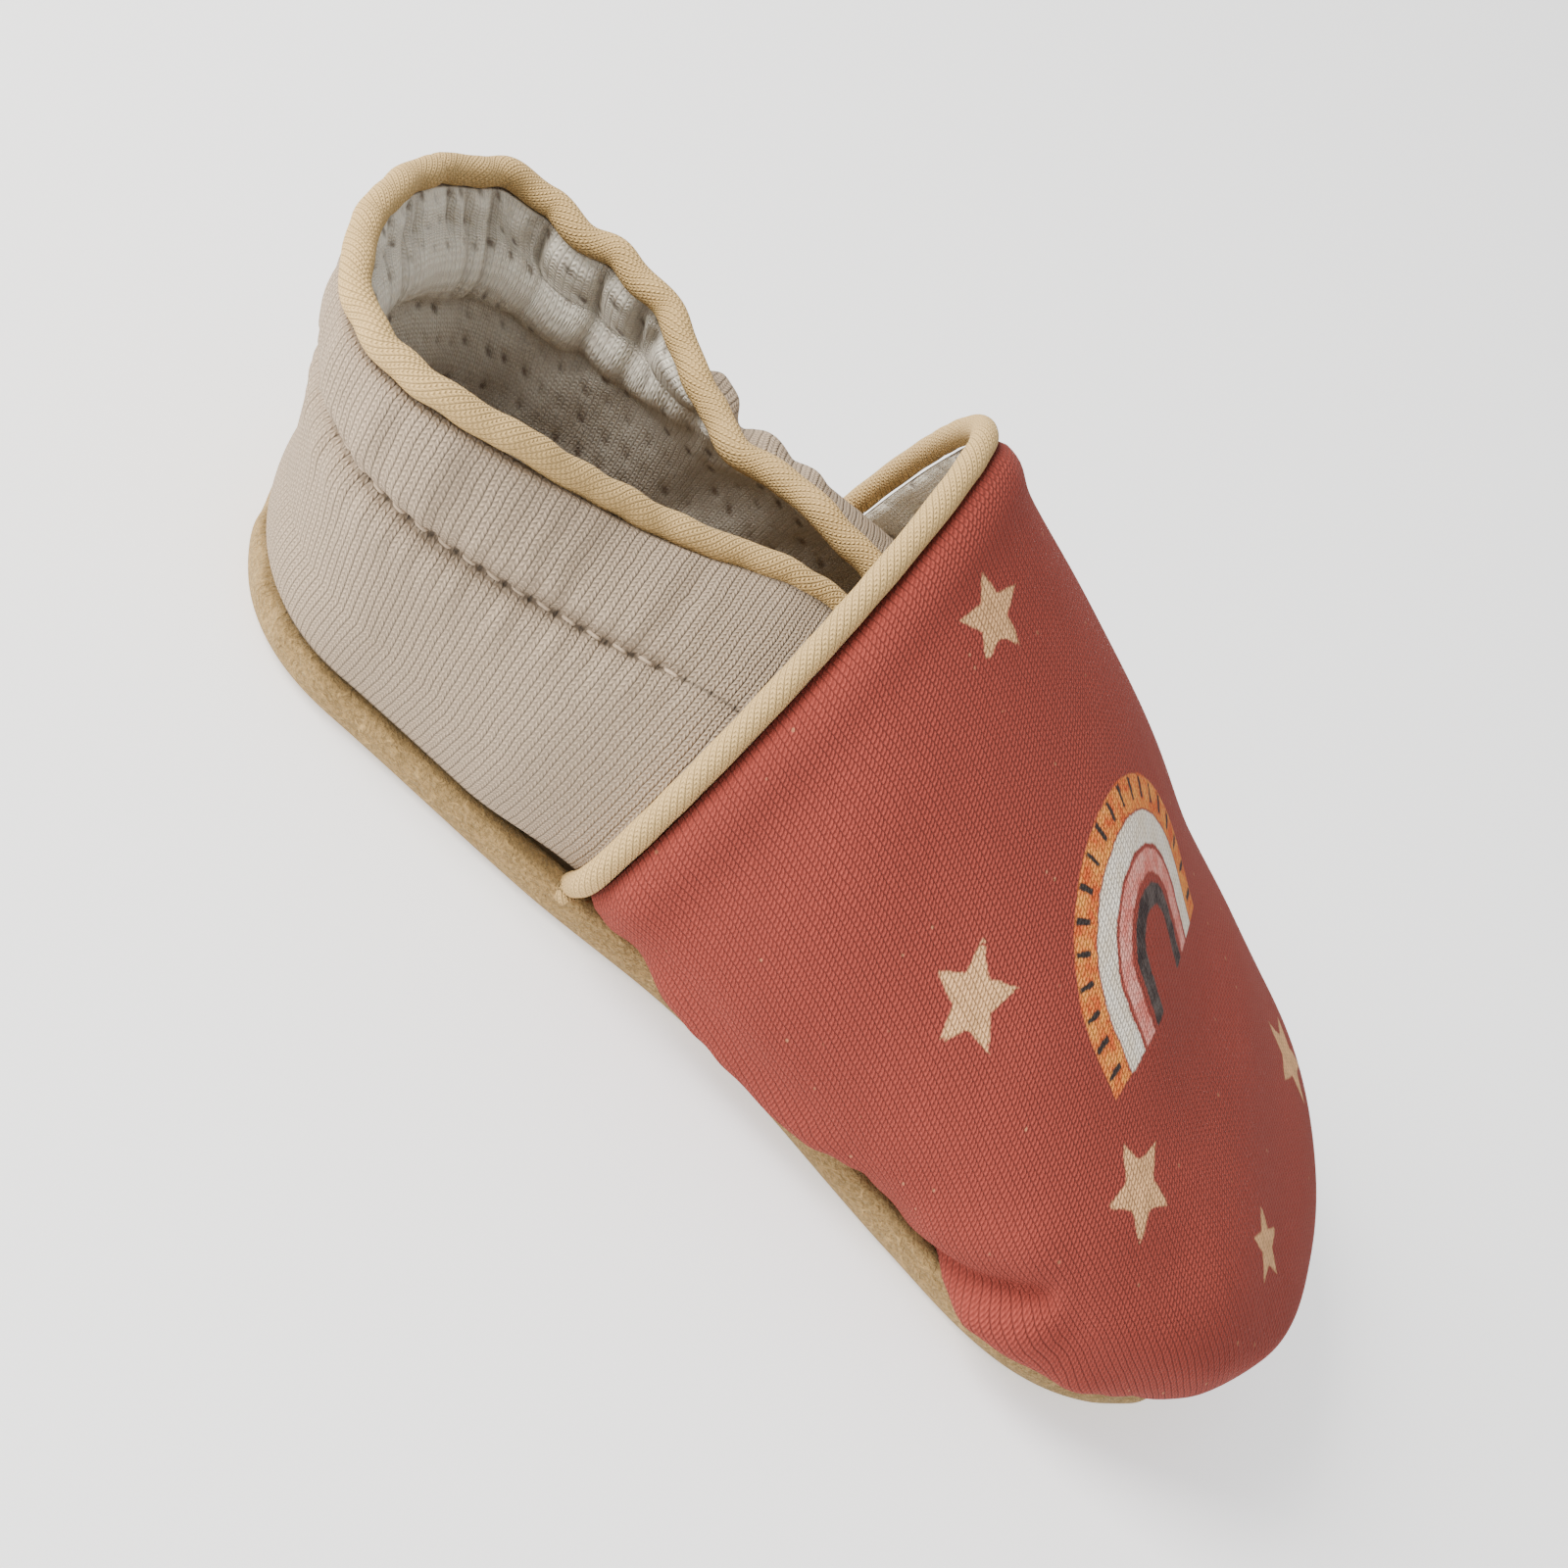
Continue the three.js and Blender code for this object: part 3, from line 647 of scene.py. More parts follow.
def knit(tree, place, wale, course, twist, stray):
    """Stocking stitch on the piece's cloth, in mm: columns of V shaped loops. Across a column the
    place s runs from 0 in its middle to 1 at its edge. The height is a sine along the column
    whose phase slants with s, so that each leg leans; a twist lets both legs lean one way, as a
    tightly spun yarn does. A power of how far s is from a leg's middle sinks the grooves between
    the legs, the deeper one at the edge. The stray wobbles the columns. Returns height from 0 to
    1, and the wobbled place."""
    wobble = add(tree, "TexNoise", None, {"Vector": place, "Scale": 0.35, "Detail": 2.0}, 1)
    wobble = add(tree, "VectorMath", "SUBTRACT", {0: wobble, 1: (0.5, 0.5, 0.5)})
    wobble = add(tree, "VectorMath", "SCALE", {0: wobble, "Scale": stray})
    place = add(tree, "VectorMath", "ADD", {0: place, 1: wobble})
    along = add(tree, "SeparateXYZ", None, {0: place}, 0)
    across = add(tree, "SeparateXYZ", None, {0: place}, 1)
    column = add(tree, "Math", "DIVIDE", {0: across, 1: wale})
    side = add(tree, "Math", "PINGPONG", {0: column, 1: 0.5})
    side = add(tree, "Math", "MULTIPLY", {0: side, 1: 2.0})
    way = add(tree, "Math", "ADD", {0: column, 1: 0.5})
    way = add(tree, "Math", "FRACT", {0: way})
    way = add(tree, "Math", "MULTIPLY", {0: way, 1: twist})
    lean = add(tree, "Math", "MULTIPLY_ADD", {0: side, 1: 0.5 * (1 - twist), 2: way})
    phase = add(tree, "Math", "DIVIDE", {0: along, 1: course})
    phase = add(tree, "Math", "ADD", {0: phase, 1: lean})
    phase = add(tree, "Math", "MULTIPLY", {0: phase, 1: 2 * math.pi})
    loop = add(tree, "Math", "SINE", {0: phase})
    loop = add(tree, "Math", "MULTIPLY_ADD", {0: loop, 1: 0.3, 2: 0.7})
    off_leg = add(tree, "Math", "MULTIPLY_ADD", {0: side, 1: 2.0, 2: -1.0})
    off_leg = add(tree, "Math", "ABSOLUTE", {0: off_leg})
    off_leg = add(tree, "Math", "POWER", {0: off_leg, 1: 2.2})
    deep = add(tree, "Math", "MULTIPLY_ADD", {0: side, 1: 0.5, 2: 0.4})
    groove = add(tree, "Math", "MULTIPLY", {0: off_leg, 1: deep})
    leg = add(tree, "Math", "SUBTRACT", {0: 1.0, 1: groove})
    height = add(tree, "Math", "MULTIPLY", {0: loop, 1: leg})
    return height, place


def shade(colour, share):
    """A darker or lighter version of a linear colour, as an RGBA value"""
    return (*(min(1.0, v * share) for v in colour), 1.0)


def flecked(tree, place, scale, colour, low, high, roughness=0.5):
    """A colour whose lightness wanders between two shares of itself with a noise"""
    look = {"Vector": place, "Scale": scale, "Detail": 3.0, "Roughness": roughness}
    noise = add(tree, "TexNoise", None, look)
    return add(tree, "Mix", BLEND, {0: noise, 6: shade(colour, low), 7: shade(colour, high)}, 2)


def blend_where(tree, value, start, end, under, over):
    """Goes from one colour to another while a value goes from its start to its end"""
    share = add(tree, "MapRange", SMOOTH, {"Value": value, "From Min": start, "From Max": end})
    return add(tree, "Mix", BLEND, {0: share, 6: under, 7: over}, 2)


def lit_loops(tree, colour, height, low, high):
    """Paints light and shade on the knit: multiplies a colour by a low share between its loops,
    painted shade, and a high one on them, painted light
    """
    share = add(tree, "MapRange", None, {"Value": height, "To Min": low, "To Max": high})
    return add(tree, "Mix", MULTIPLY, {0: 1.0, 6: colour, 7: share}, 2)


def painted_crease_shade(tree, colour, dark):
    """Paints shade: darkens a colour where the piece's crease field says that shadow falls"""
    crease = add(tree, "Attribute", {"attribute_name": "crease"}, None, 2)
    return add(tree, "Mix", BLEND, {0: crease, 6: colour, 7: dark}, 2)


def band_cover(tree, radius, band, limit):
    """How far a painted band covers a place: between its inner and outer radius, times a limit"""
    inner, outer = band["inner"], band["outer"]
    inside = {"From Min": inner - INK_EDGE, "From Max": inner + INK_EDGE}
    outside = {"From Min": outer + INK_EDGE, "From Max": outer - INK_EDGE}
    inside = add(tree, "MapRange", SMOOTH, {"Value": radius, **inside})
    outside = add(tree, "MapRange", SMOOTH, {"Value": radius, **outside})
    cover = add(tree, "Math", "MULTIPLY", {0: inside, 1: outside})
    return add(tree, "Math", "MULTIPLY", {0: cover, 1: limit})


def printed_jersey(colours, sizes):
    """Cotton single jersey, reactive dyed and printed: fine V loops in lengthwise columns, a
    matt heathered face with a few pale pills, and a print that lies in the loops"""
    material, tree = new_material("printed cotton jersey")
    cloth = add(tree, "UVMap", {"uv_map": "cloth"})
    height, place = knit(tree, cloth, sizes.wale / MM, 0.5, 0.7, 0.5)
    cloudy = add(tree, "TexNoise", None, {"Vector": place, "Scale": 0.05, "Detail": 2.0})
    ground = flecked(tree, place, 1.5, colours.coral, 0.72, 1.3, 0.7)
    ground = blend_where(tree, cloudy, 0.35, 0.7, ground, shade(colours.coral, 0.93))
    wash = {"Vector": place, "Scale": 0.5, "Detail": 4.0, "Roughness": 0.7}
    wash = add(tree, "TexNoise", None, wash)
    bleed = add(tree, "Math", "MULTIPLY_ADD", {0: wash, 1: 0.9, 2: -0.45})
    star = add(tree, "Attribute", {"attribute_name": "stars"}, None, 2)
    star = add(tree, "Math", "ADD", {0: star, 1: bleed})
    thin, thick = shade(colours.peach, 0.86), shade(colours.peach, 1.18)
    paint = blend_where(tree, wash, 0.3, 0.7, thin, thick)
    colour = blend_where(tree, star, INK_EDGE, -INK_EDGE, ground, paint)
    arch = add(tree, "Attribute", {"attribute_name": "rainbow"}, None, 1)
    radius = add(tree, "SeparateXYZ", None, {0: arch}, 0)
    radius = add(tree, "Math", "ADD", {0: radius, 1: bleed})
    leg = add(tree, "SeparateXYZ", None, {0: arch}, 1)
    leg = add(tree, "Math", "ADD", {0: leg, 1: bleed})
    foot = {"Value": leg, "From Min": INK_EDGE, "From Max": -INK_EDGE}
    foot = add(tree, "MapRange", SMOOTH, foot)
    for band in RAINBOW_BANDS:
        cover = band_cover(tree, radius, band, foot)
        dyes = [shade(hex_to_linear(band[tone]), 1.0) for tone in ("dark", "light")]
        paint = blend_where(tree, wash, 0.36, 0.64, *dyes)
        colour = add(tree, "Mix", BLEND, {0: cover, 6: colour, 7: paint}, 2)
    stroke = add(tree, "SeparateXYZ", None, {0: arch}, 2)
    stroke = add(tree, "Math", "PINGPONG", {0: stroke, 1: TICKS["spacing"]})
    stroke = add(tree, "Math", "ADD", {0: stroke, 1: bleed})
    ends = {"Value": stroke, "From Min": TICKS["half"] + 0.12, "From Max": TICKS["half"] - 0.12}
    ends = add(tree, "MapRange", SMOOTH, ends)
    cover = band_cover(tree, radius, TICKS, ends)
    cover = add(tree, "Math", "MULTIPLY", {0: cover, 1: foot})
    ticks = shade(hex_to_linear(TICKS["dye"]), 1.0)
    colour = add(tree, "Mix", BLEND, {0: cover, 6: colour, 7: ticks}, 2)
    colour = lit_loops(tree, colour, height, 0.46, 1.2)
    pill = add(tree, "TexVoronoi", None, {"Vector": place, "Scale": 0.28})
    pill = add(tree, "MapRange", SMOOTH, {"Value": pill, "From Min": 0.075, "From Max": 0.03})
    pill = add(tree, "Math", "MULTIPLY", {0: pill, 1: 0.28})
    colour = add(tree, "Mix", BLEND, {0: pill, 6: colour, 7: shade(colours.peach, 1.0)}, 2)
    # Painted shade: the crease field darkens the coral along the vamp's edge and the sole seam.
    colour = painted_crease_shade(tree, colour, shade(colours.coral, 0.35))
    finish_material(tree, colour, height, 0.2 * MM, 0.95, 0.07, hex_to_linear("E8927A"))
    return material


def needle_hole_shade(tree, colour, dark, pitch):
    """Paints shade along the stitch line: darkens a colour a little in the fold between its two
    rows of cloth and more in the needle holes half way between stitches. The sewn field holds the
    distance from the line in mm and the run along it in stitches."""
    seam = add(tree, "Attribute", {"attribute_name": "sewn"}, None, 1)
    away = add(tree, "SeparateXYZ", None, {0: seam}, 0)
    away = add(tree, "Math", "ABSOLUTE", {0: away})
    run = add(tree, "SeparateXYZ", None, {0: seam}, 1)
    run = add(tree, "Math", "PINGPONG", {0: run, 1: 0.5})
    run = add(tree, "Math", "MULTIPLY_ADD", {0: run, 1: -pitch, 2: 0.5 * pitch})
    both = add(tree, "CombineXYZ", None, {0: away, 1: run})
    radius = add(tree, "VectorMath", "LENGTH", {0: both}, 1)
    hole = add(tree, "MapRange", SMOOTH, {"Value": radius, "From Min": 0.36, "From Max": 0.12})
    fold = {"Value": away, "From Min": 0.26, "From Max": 0.06, "To Max": 0.55}
    fold = add(tree, "MapRange", SMOOTH, fold)
    cover = add(tree, "Math", "MAXIMUM", {0: hole, 1: fold})
    return add(tree, "Mix", BLEND, {0: cover, 6: colour, 7: dark}, 2)


def ribbed_jersey(colours, sizes):
    """Cotton jersey of a coarser gauge, used on its side: clear ribs from sole to collar, with
    V loops in them, and a melange of pale and grey fibres"""
    material, tree = new_material("ribbed melange jersey")
    cloth = add(tree, "UVMap", {"uv_map": "cloth"})
    height, place = knit(tree, cloth, sizes.rib / MM, 0.52, 0.0, 0.42)
    colour = flecked(tree, place, 2.2, colours.grey, 0.8, 1.18, 0.7)
    colour = lit_loops(tree, colour, height, 0.42, 1.14)
    # Painted shade from the crease field, then painted shade in the stitch line's fold and needle
    # holes.
    colour = painted_crease_shade(tree, colour, shade(colours.grey, 0.3))
    colour = needle_hole_shade(tree, colour, shade(colours.grey, 0.24), sizes.stitch / MM)
    finish_material(tree, colour, height, 0.28 * MM, 0.95, 0.08, hex_to_linear("EADBC8"))
    return material


def piping_jersey(colours):
    """Fine jersey cut on the bias and pulled over cord: its loops run slantwise round the piping"""
    material, tree = new_material("jersey over cord")
    cloth = add(tree, "UVMap", {"uv_map": "cloth"})
    bias = add(tree, "Mapping", None, {"Vector": cloth, "Rotation": (0.0, 0.0, math.radians(40))})
    height, place = knit(tree, bias, 0.62, 0.44, 0.0, 0.2)
    colour = flecked(tree, place, 1.6, colours.sand, 0.86, 1.12)
    colour = lit_loops(tree, colour, height, 0.56, 1.14)
    finish_material(tree, colour, height, 0.18 * MM, 0.9, 0.08, hex_to_linear("F0DDB4"))
    return material


# Spacing of the lining's eyelets down the wall and round it, in mm.
EYELETS = {"row": 3.5, "line": 2.7}


def pointelle_lining(colours):
    """Soft cotton pointelle: cream jersey with rows of small eyelets, each a short dark slit
    with a pucker round it"""
    material, tree = new_material(LINING_CLOTH)
    cloth = add(tree, "UVMap", {"uv_map": "cloth"})
    height, place = knit(tree, cloth, 0.62, 0.5, 0.0, 0.5)
    along = add(tree, "SeparateXYZ", None, {0: place}, 0)
    across = add(tree, "SeparateXYZ", None, {0: place}, 1)
    row = add(tree, "Math", "MULTIPLY", {0: along, 1: 1 / EYELETS["row"]})
    line = add(tree, "Math", "MULTIPLY", {0: across, 1: 1 / EYELETS["line"]})
    line = add(tree, "Math", "MULTIPLY_ADD", {0: row, 1: 0.5, 2: line})
    stretch = add(tree, "CombineXYZ", None, {0: row, 1: line})
    eyelet = add(tree, "TexVoronoi", None, {"Vector": stretch, "Scale": 1.0, "Randomness": 0.25})
    hole = {"Value": eyelet, "From Min": 0.27, "From Max": 0.04, "To Max": 0.85}
    hole = add(tree, "MapRange", SMOOTH, hole)
    pucker = add(tree, "MapRange", SMOOTH, {"Value": eyelet, "From Min": 0.45, "From Max": 0.08})
    colour = flecked(tree, place, 1.3, colours.cream, 0.86, 1.1)
    colour = lit_loops(tree, colour, height, 0.8, 1.06)
    # Painted shade: each eyelet's hole is drawn as a dark brown slit on the unbroken cloth.
    dark = shade(hex_to_linear("6E6256"), 1.0)
    colour = add(tree, "Mix", BLEND, {0: hole, 6: colour, 7: dark}, 2)
    # Painted shade from the crease field, a warm dark brown.
    colour = painted_crease_shade(tree, colour, shade(hex_to_linear("6E5C4B"), 1.0))
    relief = add(tree, "Math", "MULTIPLY_ADD", {0: pucker, 1: -2.2, 2: height})
    finish_material(tree, colour, relief, 0.12 * MM, 0.95, 0.15, hex_to_linear("FFF8EE"))
    return material


def napped_suede(colours):
    """Split suede, buffed: short nap that lies in patches, darker where it is brushed away, and
    paler in scattered tufts"""
    material, tree = new_material("napped suede")
    spot = add(tree, "TexCoord", None, None, 3)
    nap = {"Vector": spot, "Scale": 2400.0, "Detail": 3.0, "Roughness": 0.7}
    nap = add(tree, "TexNoise", None, nap)
    tuft = {"Vector": spot, "Scale": 900.0, "Detail": 2.0, "Distortion": 1.2}
    tuft = add(tree, "TexNoise", None, tuft)
    colour = flecked(tree, spot, 140.0, colours.suede, 0.82, 1.12)
    colour = blend_where(tree, nap, 0.4, 0.6, shade(colours.suede, 0.62), colour)
    colour = blend_where(tree, tuft, 0.6, 0.75, colour, shade(colours.suede, 1.3))
    # Painted shade from the crease field, along the seam at the rim's top.
    colour = painted_crease_shade(tree, colour, shade(colours.suede, 0.3))
    height = add(tree, "Math", "ADD", {0: nap, 1: tuft})
    finish_material(tree, colour, height, 0.5 * MM, 0.97, 0.35, hex_to_linear("E9D6B0"))
    return material


def felted_footbed(colours):
    """Brushed cotton felt on thin foam: a soft brown face with short lying fibres"""
    material, tree = new_material("felted footbed")
    spot = add(tree, "TexCoord", None, None, 3)
    fibre = add(tree, "VectorMath", "MULTIPLY", {0: spot, 1: (0.45, 1.0, 1.0)})
    fibre = add(tree, "TexNoise", None, {"Vector": fibre, "Scale": 1300.0, "Detail": 4.0})
    colour = flecked(tree, spot, 90.0, colours.felt, 0.8, 1.15)
    colour = blend_where(tree, fibre, 0.35, 0.65, shade(colours.felt, 0.7), colour)
    finish_material(tree, colour, fibre, 0.25 * MM, 0.96, 0.3, hex_to_linear("E6D2B6"))
    return material


def sewing_thread(colours):
    """Spun polyester thread: two plies twisted, with a slight gloss"""
    material, tree = new_material("spun polyester thread")
    spot = add(tree, "TexCoord", None, None, 3)
    ply = add(tree, "TexNoise", None, {"Vector": spot, "Scale": 2200.0, "Detail": 2.0})
    dark, pale = shade(colours.grey, 0.85), shade(colours.grey, 1.35)
    colour = add(tree, "Mix", BLEND, {0: ply, 6: dark, 7: pale}, 2)
    finish_material(tree, colour, ply, 0.08 * MM, 0.6, 0.1, hex_to_linear("FFFFFF"))
    return material


# Reliefs of the cloth, in mm out of its face.


def crease_relief(cloth, creases):
    """Soft troughs and ridges: a bell across each crease's line, faded to its ends"""
    total = np.zeros(cloth.shape[:2])
    for crease in creases:
        start = np.array(crease["start"])
        line = np.array(crease["end"]) - start
        share = ((cloth - start) @ line) / (line @ line)
        nearest = start + np.clip(share, 0, 1)[..., None] * line
        gap = np.linalg.norm(cloth - nearest, axis=-1)
        fade = ease(2.2 * np.clip(share + 0.25, 0, 1)) * ease(2.2 * np.clip(1.25 - share, 0, 1))
        total += crease["rise"] * bell(gap, crease["half"]) * fade
    return total


def ripple(place, name):
    """An uneven wave: its rise times a sine whose phase wanders with slower sines"""
    wave = WAVES[name]
    turns = place / wave["spacing"]
    seed = wave["seed"]
    wander = 1.3 * np.sin(1.7 * turns + seed) + 0.9 * np.sin(0.73 * turns + 2.1 * seed)
    return wave["rise"] * np.sin(2 * math.pi * turns + wander)


def welt(distance, name, stitch_phase=0):
    """Pulls and swells beside a line: a sum of bells across it"""
    total = 0 * distance
    for row in WELTS[name]:
        rise = row["rise"] + row["beat"] * stitch_phase
        total = total + rise * bell(distance - row["at"], row["half"])
    return total


def overhang(x, from_seam):
    """The vamp's belly over the sole: a bell above the seam, faded at each stretch's ends"""
    out = 0 * x
    for stretch in OVERHANGS:
        grow = ease((x - stretch["start"]) / stretch["fade"])
        shrink = ease((stretch["end"] - x) / stretch["fade"])
        out = out + stretch["out"] * grow * shrink
    return out * bell(from_seam - OVERHANG_ABOVE, OVERHANG_HALF)


def star_distance(cloth, star):
    """Signed distance from a five-pointed star's outline, in mm, below zero inside. The place is
    folded into half of one point, then measured from that point's straight edge."""
    place = cloth - np.array(star["at"])
    angle = np.arctan2(place[..., 1], place[..., 0]) - star["turn"]
    size = np.linalg.norm(place, axis=-1)
    fifth = 2 * math.pi / 5
    folded = np.abs((angle + fifth / 2) % fifth - fifth / 2)
    x = size * np.cos(folded)
    y = size * np.sin(folded)
    tip = np.array([star["size"], 0.0])
    notch = 0.45 * star["size"] * np.array([math.cos(fifth / 2), math.sin(fifth / 2)])
    edge = notch - tip
    out = np.array([edge[1], -edge[0]]) / np.linalg.norm(edge)
    return (x - tip[0]) * out[0] + (y - tip[1]) * out[1]


def rainbow_place(cloth):
    """Radius in the rainbow, distance past the end of its legs, and way along its outer band:
    polar round its centre towards the vamp's edge, and straight along the legs below it"""
    along, across = np.moveaxis(cloth - np.array(RAINBOW_AT), -1, 0)
    arched = along < 0
    radius = np.where(arched, np.hypot(along, across), np.abs(across))
    outer = RAINBOW_BANDS[0]["outer"]
    way = np.where(arched, np.arctan2(np.abs(across), -along), math.pi / 2 + along / outer) * outer
    return np.stack([radius, along - RAINBOW_LEG, way], -1)


# Pieces.

# How deep the jerseys go into the walls, and the gap to the lining behind, in mm; and how far
# before the toe the vamp's relief fades out.
VAMP_JERSEY = 1.1
QUARTER_JERSEY = 1.2
JERSEY_GAP = 0.05
TOE_FADE = 8.0
LINING_CLOTH = "cream pointelle jersey"


def settings():
    scene = bpy.context.scene
    return scene.slipper_sizes, scene.slipper_colours


def dress(piece, slot, *nodes):
    """Rides a piece on the slipper's one body, in place of its nodes. The slot is not used."""
    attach(piece, "root")
    if nodes:
        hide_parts(*nodes)
    return piece


def build_vamp():
    """Outer jersey and lining of the vamp: two shells between insets of the vamp's surface"""
    sizes, colours = settings()
    shares = np.linspace(0, 1, 211)
    steps = (150, 14)
    base = vamp_surface(shares, *steps, 0)
    ridge = slice(base.shape[1] // 2, base.shape[1] // 2 + 1)
    run = run_lengths(base, 1)
    from_edge = run_lengths(base, 0)
    cloth = np.stack([from_edge[:, ridge] + 0 * run, run - run[:, ridge]], -1)
    from_seam = np.minimum(run, run[:, -1:] - run)
    before_toe = ease((LENGTH - base[..., 0]) / TOE_FADE)
    relief = crease_relief(cloth, VAMP_CREASES)
    relief += welt(from_edge, "vamp edge") + welt(from_seam, "vamp seam")
    relief += bell(from_seam - 2.4, 2.4) * ripple(cloth[..., 0], "vamp seam")
    relief += ripple(cloth[..., 0] + 0.4 * cloth[..., 1], "vamp face")
    relief += overhang(base[..., 0], from_seam)
    relief *= before_toe
    outer = base + normals(base) * relief[..., None]
    # The crease field is painted shade, along the vamp's edge under its piping and along the sole
    # seam.
    crease = np.clip(0.8 * bell(from_edge, 0.5) + 0.8 * bell(from_seam, 0.6), 0, 1)
    stars = np.min([star_distance(cloth, star) for star in STARS], axis=0)
    rainbow = rainbow_place(cloth)
    fields = {"crease": crease, "stars": stars, "rainbow": rainbow}
    back = vamp_surface(shares, *steps, VAMP_JERSEY)
    cover = printed_jersey(colours, sizes)
    jersey = shell("vamp_jersey", outer, back, cover, cloth, fields, halves_meet=True)
    dress(jersey, "printed_jersey", "vamp")

    shares = np.linspace(0, 1, 121)
    steps = (110, 8)
    face = vamp_surface(shares, *steps, VAMP_WALL)
    run = run_lengths(face, 1)
    cloth = np.stack([run_lengths(face, 0), run], -1)
    puff = ripple(run, "vamp lining") * ease((LENGTH - face[..., 0]) / TOE_FADE)
    inner = face + normals(face) * puff[..., None]
    outer = vamp_surface(shares, *steps, VAMP_JERSEY + JERSEY_GAP)
    cover = bpy.data.materials[LINING_CLOTH]
    fields = {"crease": 0 * run}
    lining = shell("vamp_lining", outer, inner, cover, cloth, fields, halves_meet=True)
    dress(lining, "lining")


def casing_run():
    """Places along the casing's stitch line and their run in mm from the centre back"""
    half = 1200
    place = np.linspace(-1, 1, 2 * half + 1)
    run = run_lengths(quarter_surface(place, rise_at_casing(place))[None], 1)[0]
    return place, run - run[half]


def casing_depth(place, rise, below):
    """The stitch line's distance down the cloth from the collar, for each column of a frame"""
    columns = zip(rise_at_casing(place[0]), below.T)
    return np.array([np.interp(at, rise[:, 0], column) for at, column in columns])


def quarter_frame(columns, rows):
    """Grids of place and rise over the quarter, its surface, its normals and its flat cloth"""
    place, rise = np.meshgrid(np.linspace(-1, 1, columns), np.linspace(0, 1, rows))
    base = quarter_surface(place, rise)
    girth_row = int(round(SKIRT_SHARE * (rows - 1)))
    across = run_lengths(base, 1)[girth_row]
    cloth = np.stack([run_lengths(base, 0), across[None] - across[columns // 2] + 0 * rise], -1)
    outward = normals(base)
    outward[..., 2] *= np.clip(rise / SKIRT_SHARE, 0, 1)
    return place, rise, base, unit(outward), cloth


def build_quarter():
    """Outer jersey and lining of the heel quarter: two shells between offsets of its surface,
    moved by sums of bells and ripples for the casing, its puckers and the lining's folds"""
    sizes, colours = settings()
    pointelle = pointelle_lining(colours)
    place, rise, base, outward, cloth = quarter_frame(401, 91)
    loose = 1 - tuck_share(base[..., 0])
    height = run_lengths(base, 0)
    below = height[-1:] - height
    depth = casing_depth(place, rise, below)
    from_line = below - depth
    around = cloth[..., 1]
    far = 0.4 + 0.6 * ease((place - 0.1) * 4)
    slack = ease((place - 0.3) * 6)
    casing = np.sin(math.pi * np.clip(below / depth, 0, 1)) ** 0.5
    sewn = np.interp(place[0], *casing_run()) / (sizes.stitch / MM)
    stitch_phase = np.cos(2 * math.pi * sewn)
    # Puckers of the casing, and the slack cloth of the outer side.
    relief = far * (ripple(around, "casing") + ripple(around, "casing, finer")) * casing
    relief += slack * (1 + ripple(around, "slack casing")) * bell(below - 4.5, 3.2)
    # Ripples under the stitch line, and the swells on both sides of it.
    relief += far * ripple(around, "under the casing") * bell(from_line - 3, 3.2)
    relief += welt(from_line, "stitch line", stitch_phase)
    relief *= loose
    # The line's own groove, and the pulls at sole and collar.
    groove = welt(from_line, "stitch groove", stitch_phase)
    relief += groove * ease(1.6 - 1.6 * tuck_share(base[..., 0]))
    relief += welt(height, "quarter seam") + welt(below, "collar") * loose
    outer = base + outward * relief[..., None]
    # The crease field is painted shade: along the sole seam, in the shadow under the collar's
    # piping and in the stitch line's groove.
    crease = 0.75 * bell(height, 0.6) + 0.85 * bell(below, 0.8)
    crease += 0.22 * bell(from_line, 0.8)
    seam = np.stack([from_line, np.broadcast_to(sewn, from_line.shape), 0 * from_line], -1)
    fields = {"crease": np.clip(crease, 0, 1), "sewn": seam}
    back = base - outward * QUARTER_JERSEY
    cover = ribbed_jersey(colours, sizes)
    jersey = shell("quarter_jersey", outer, back, cover, cloth, fields)
    dress(jersey, "ribbed_jersey", "heel_quarter")

    place, rise, base, outward, cloth = quarter_frame(321, 71)
    height = run_lengths(base, 0)
    below = height[-1:] - height
    around = cloth[..., 1]
    face = base - outward * QUARTER_WALL
    fold = np.zeros_like(place)
    for k in range(-FOLDS["count"], FOLDS["count"] + 1):
        middle = FOLDS["spacing"] * (k + 0.3 * math.sin(2.4 * k))
        reach = FOLDS["reach"] * (1 + 0.35 * math.sin(1.7 * k))
        slant = middle + 0.1 * below * math.sin(5.0 * k)
        depth = FOLDS["depth"] * (1 + 0.5 * math.sin(3.1 * k))
        fold += depth * bell(around - slant, 0.85) * ease(1.25 - below / reach)
    line = LINING_BAND + ripple(around, "lining band's edge")
    band = np.sin(math.pi * np.clip(below / (line + 0.5), 0, 1)) ** 0.8
    puff = 0.95 * band + ripple(around, "lining band") * band
    puff += ripple(around + 0.5 * below, "lining wall") * ease((below - line) / 4)
    pinch = 0.45 * bell(below - line - 0.6, 1.9) * (1 + ripple(around, "lining pinch"))
    tuck = 0.9 * bell(below, 1.0)
    push = (fold * ease(below / 1.5) - puff + pinch + tuck) * ease(height / 6)
    inner = face + outward * push[..., None]
    # The crease field is painted shade: in the folds, along the sole seam, right under the band and
    # deepening down the wall.
    crease = 0.4 * fold + 0.7 * bell(height, 0.8) + 0.2 * bell(below - line, 1.0)
    crease += 0.3 * ease((below - line + 1) / 3) + 0.3 * ease((below - line) / 12)
    fields = {"crease": np.clip(crease, 0, 1)}
    outer = base - outward * (QUARTER_JERSEY + JERSEY_GAP)
    lining = shell("quarter_lining", outer, inner, pointelle, cloth, fields)
    dress(lining, "lining")


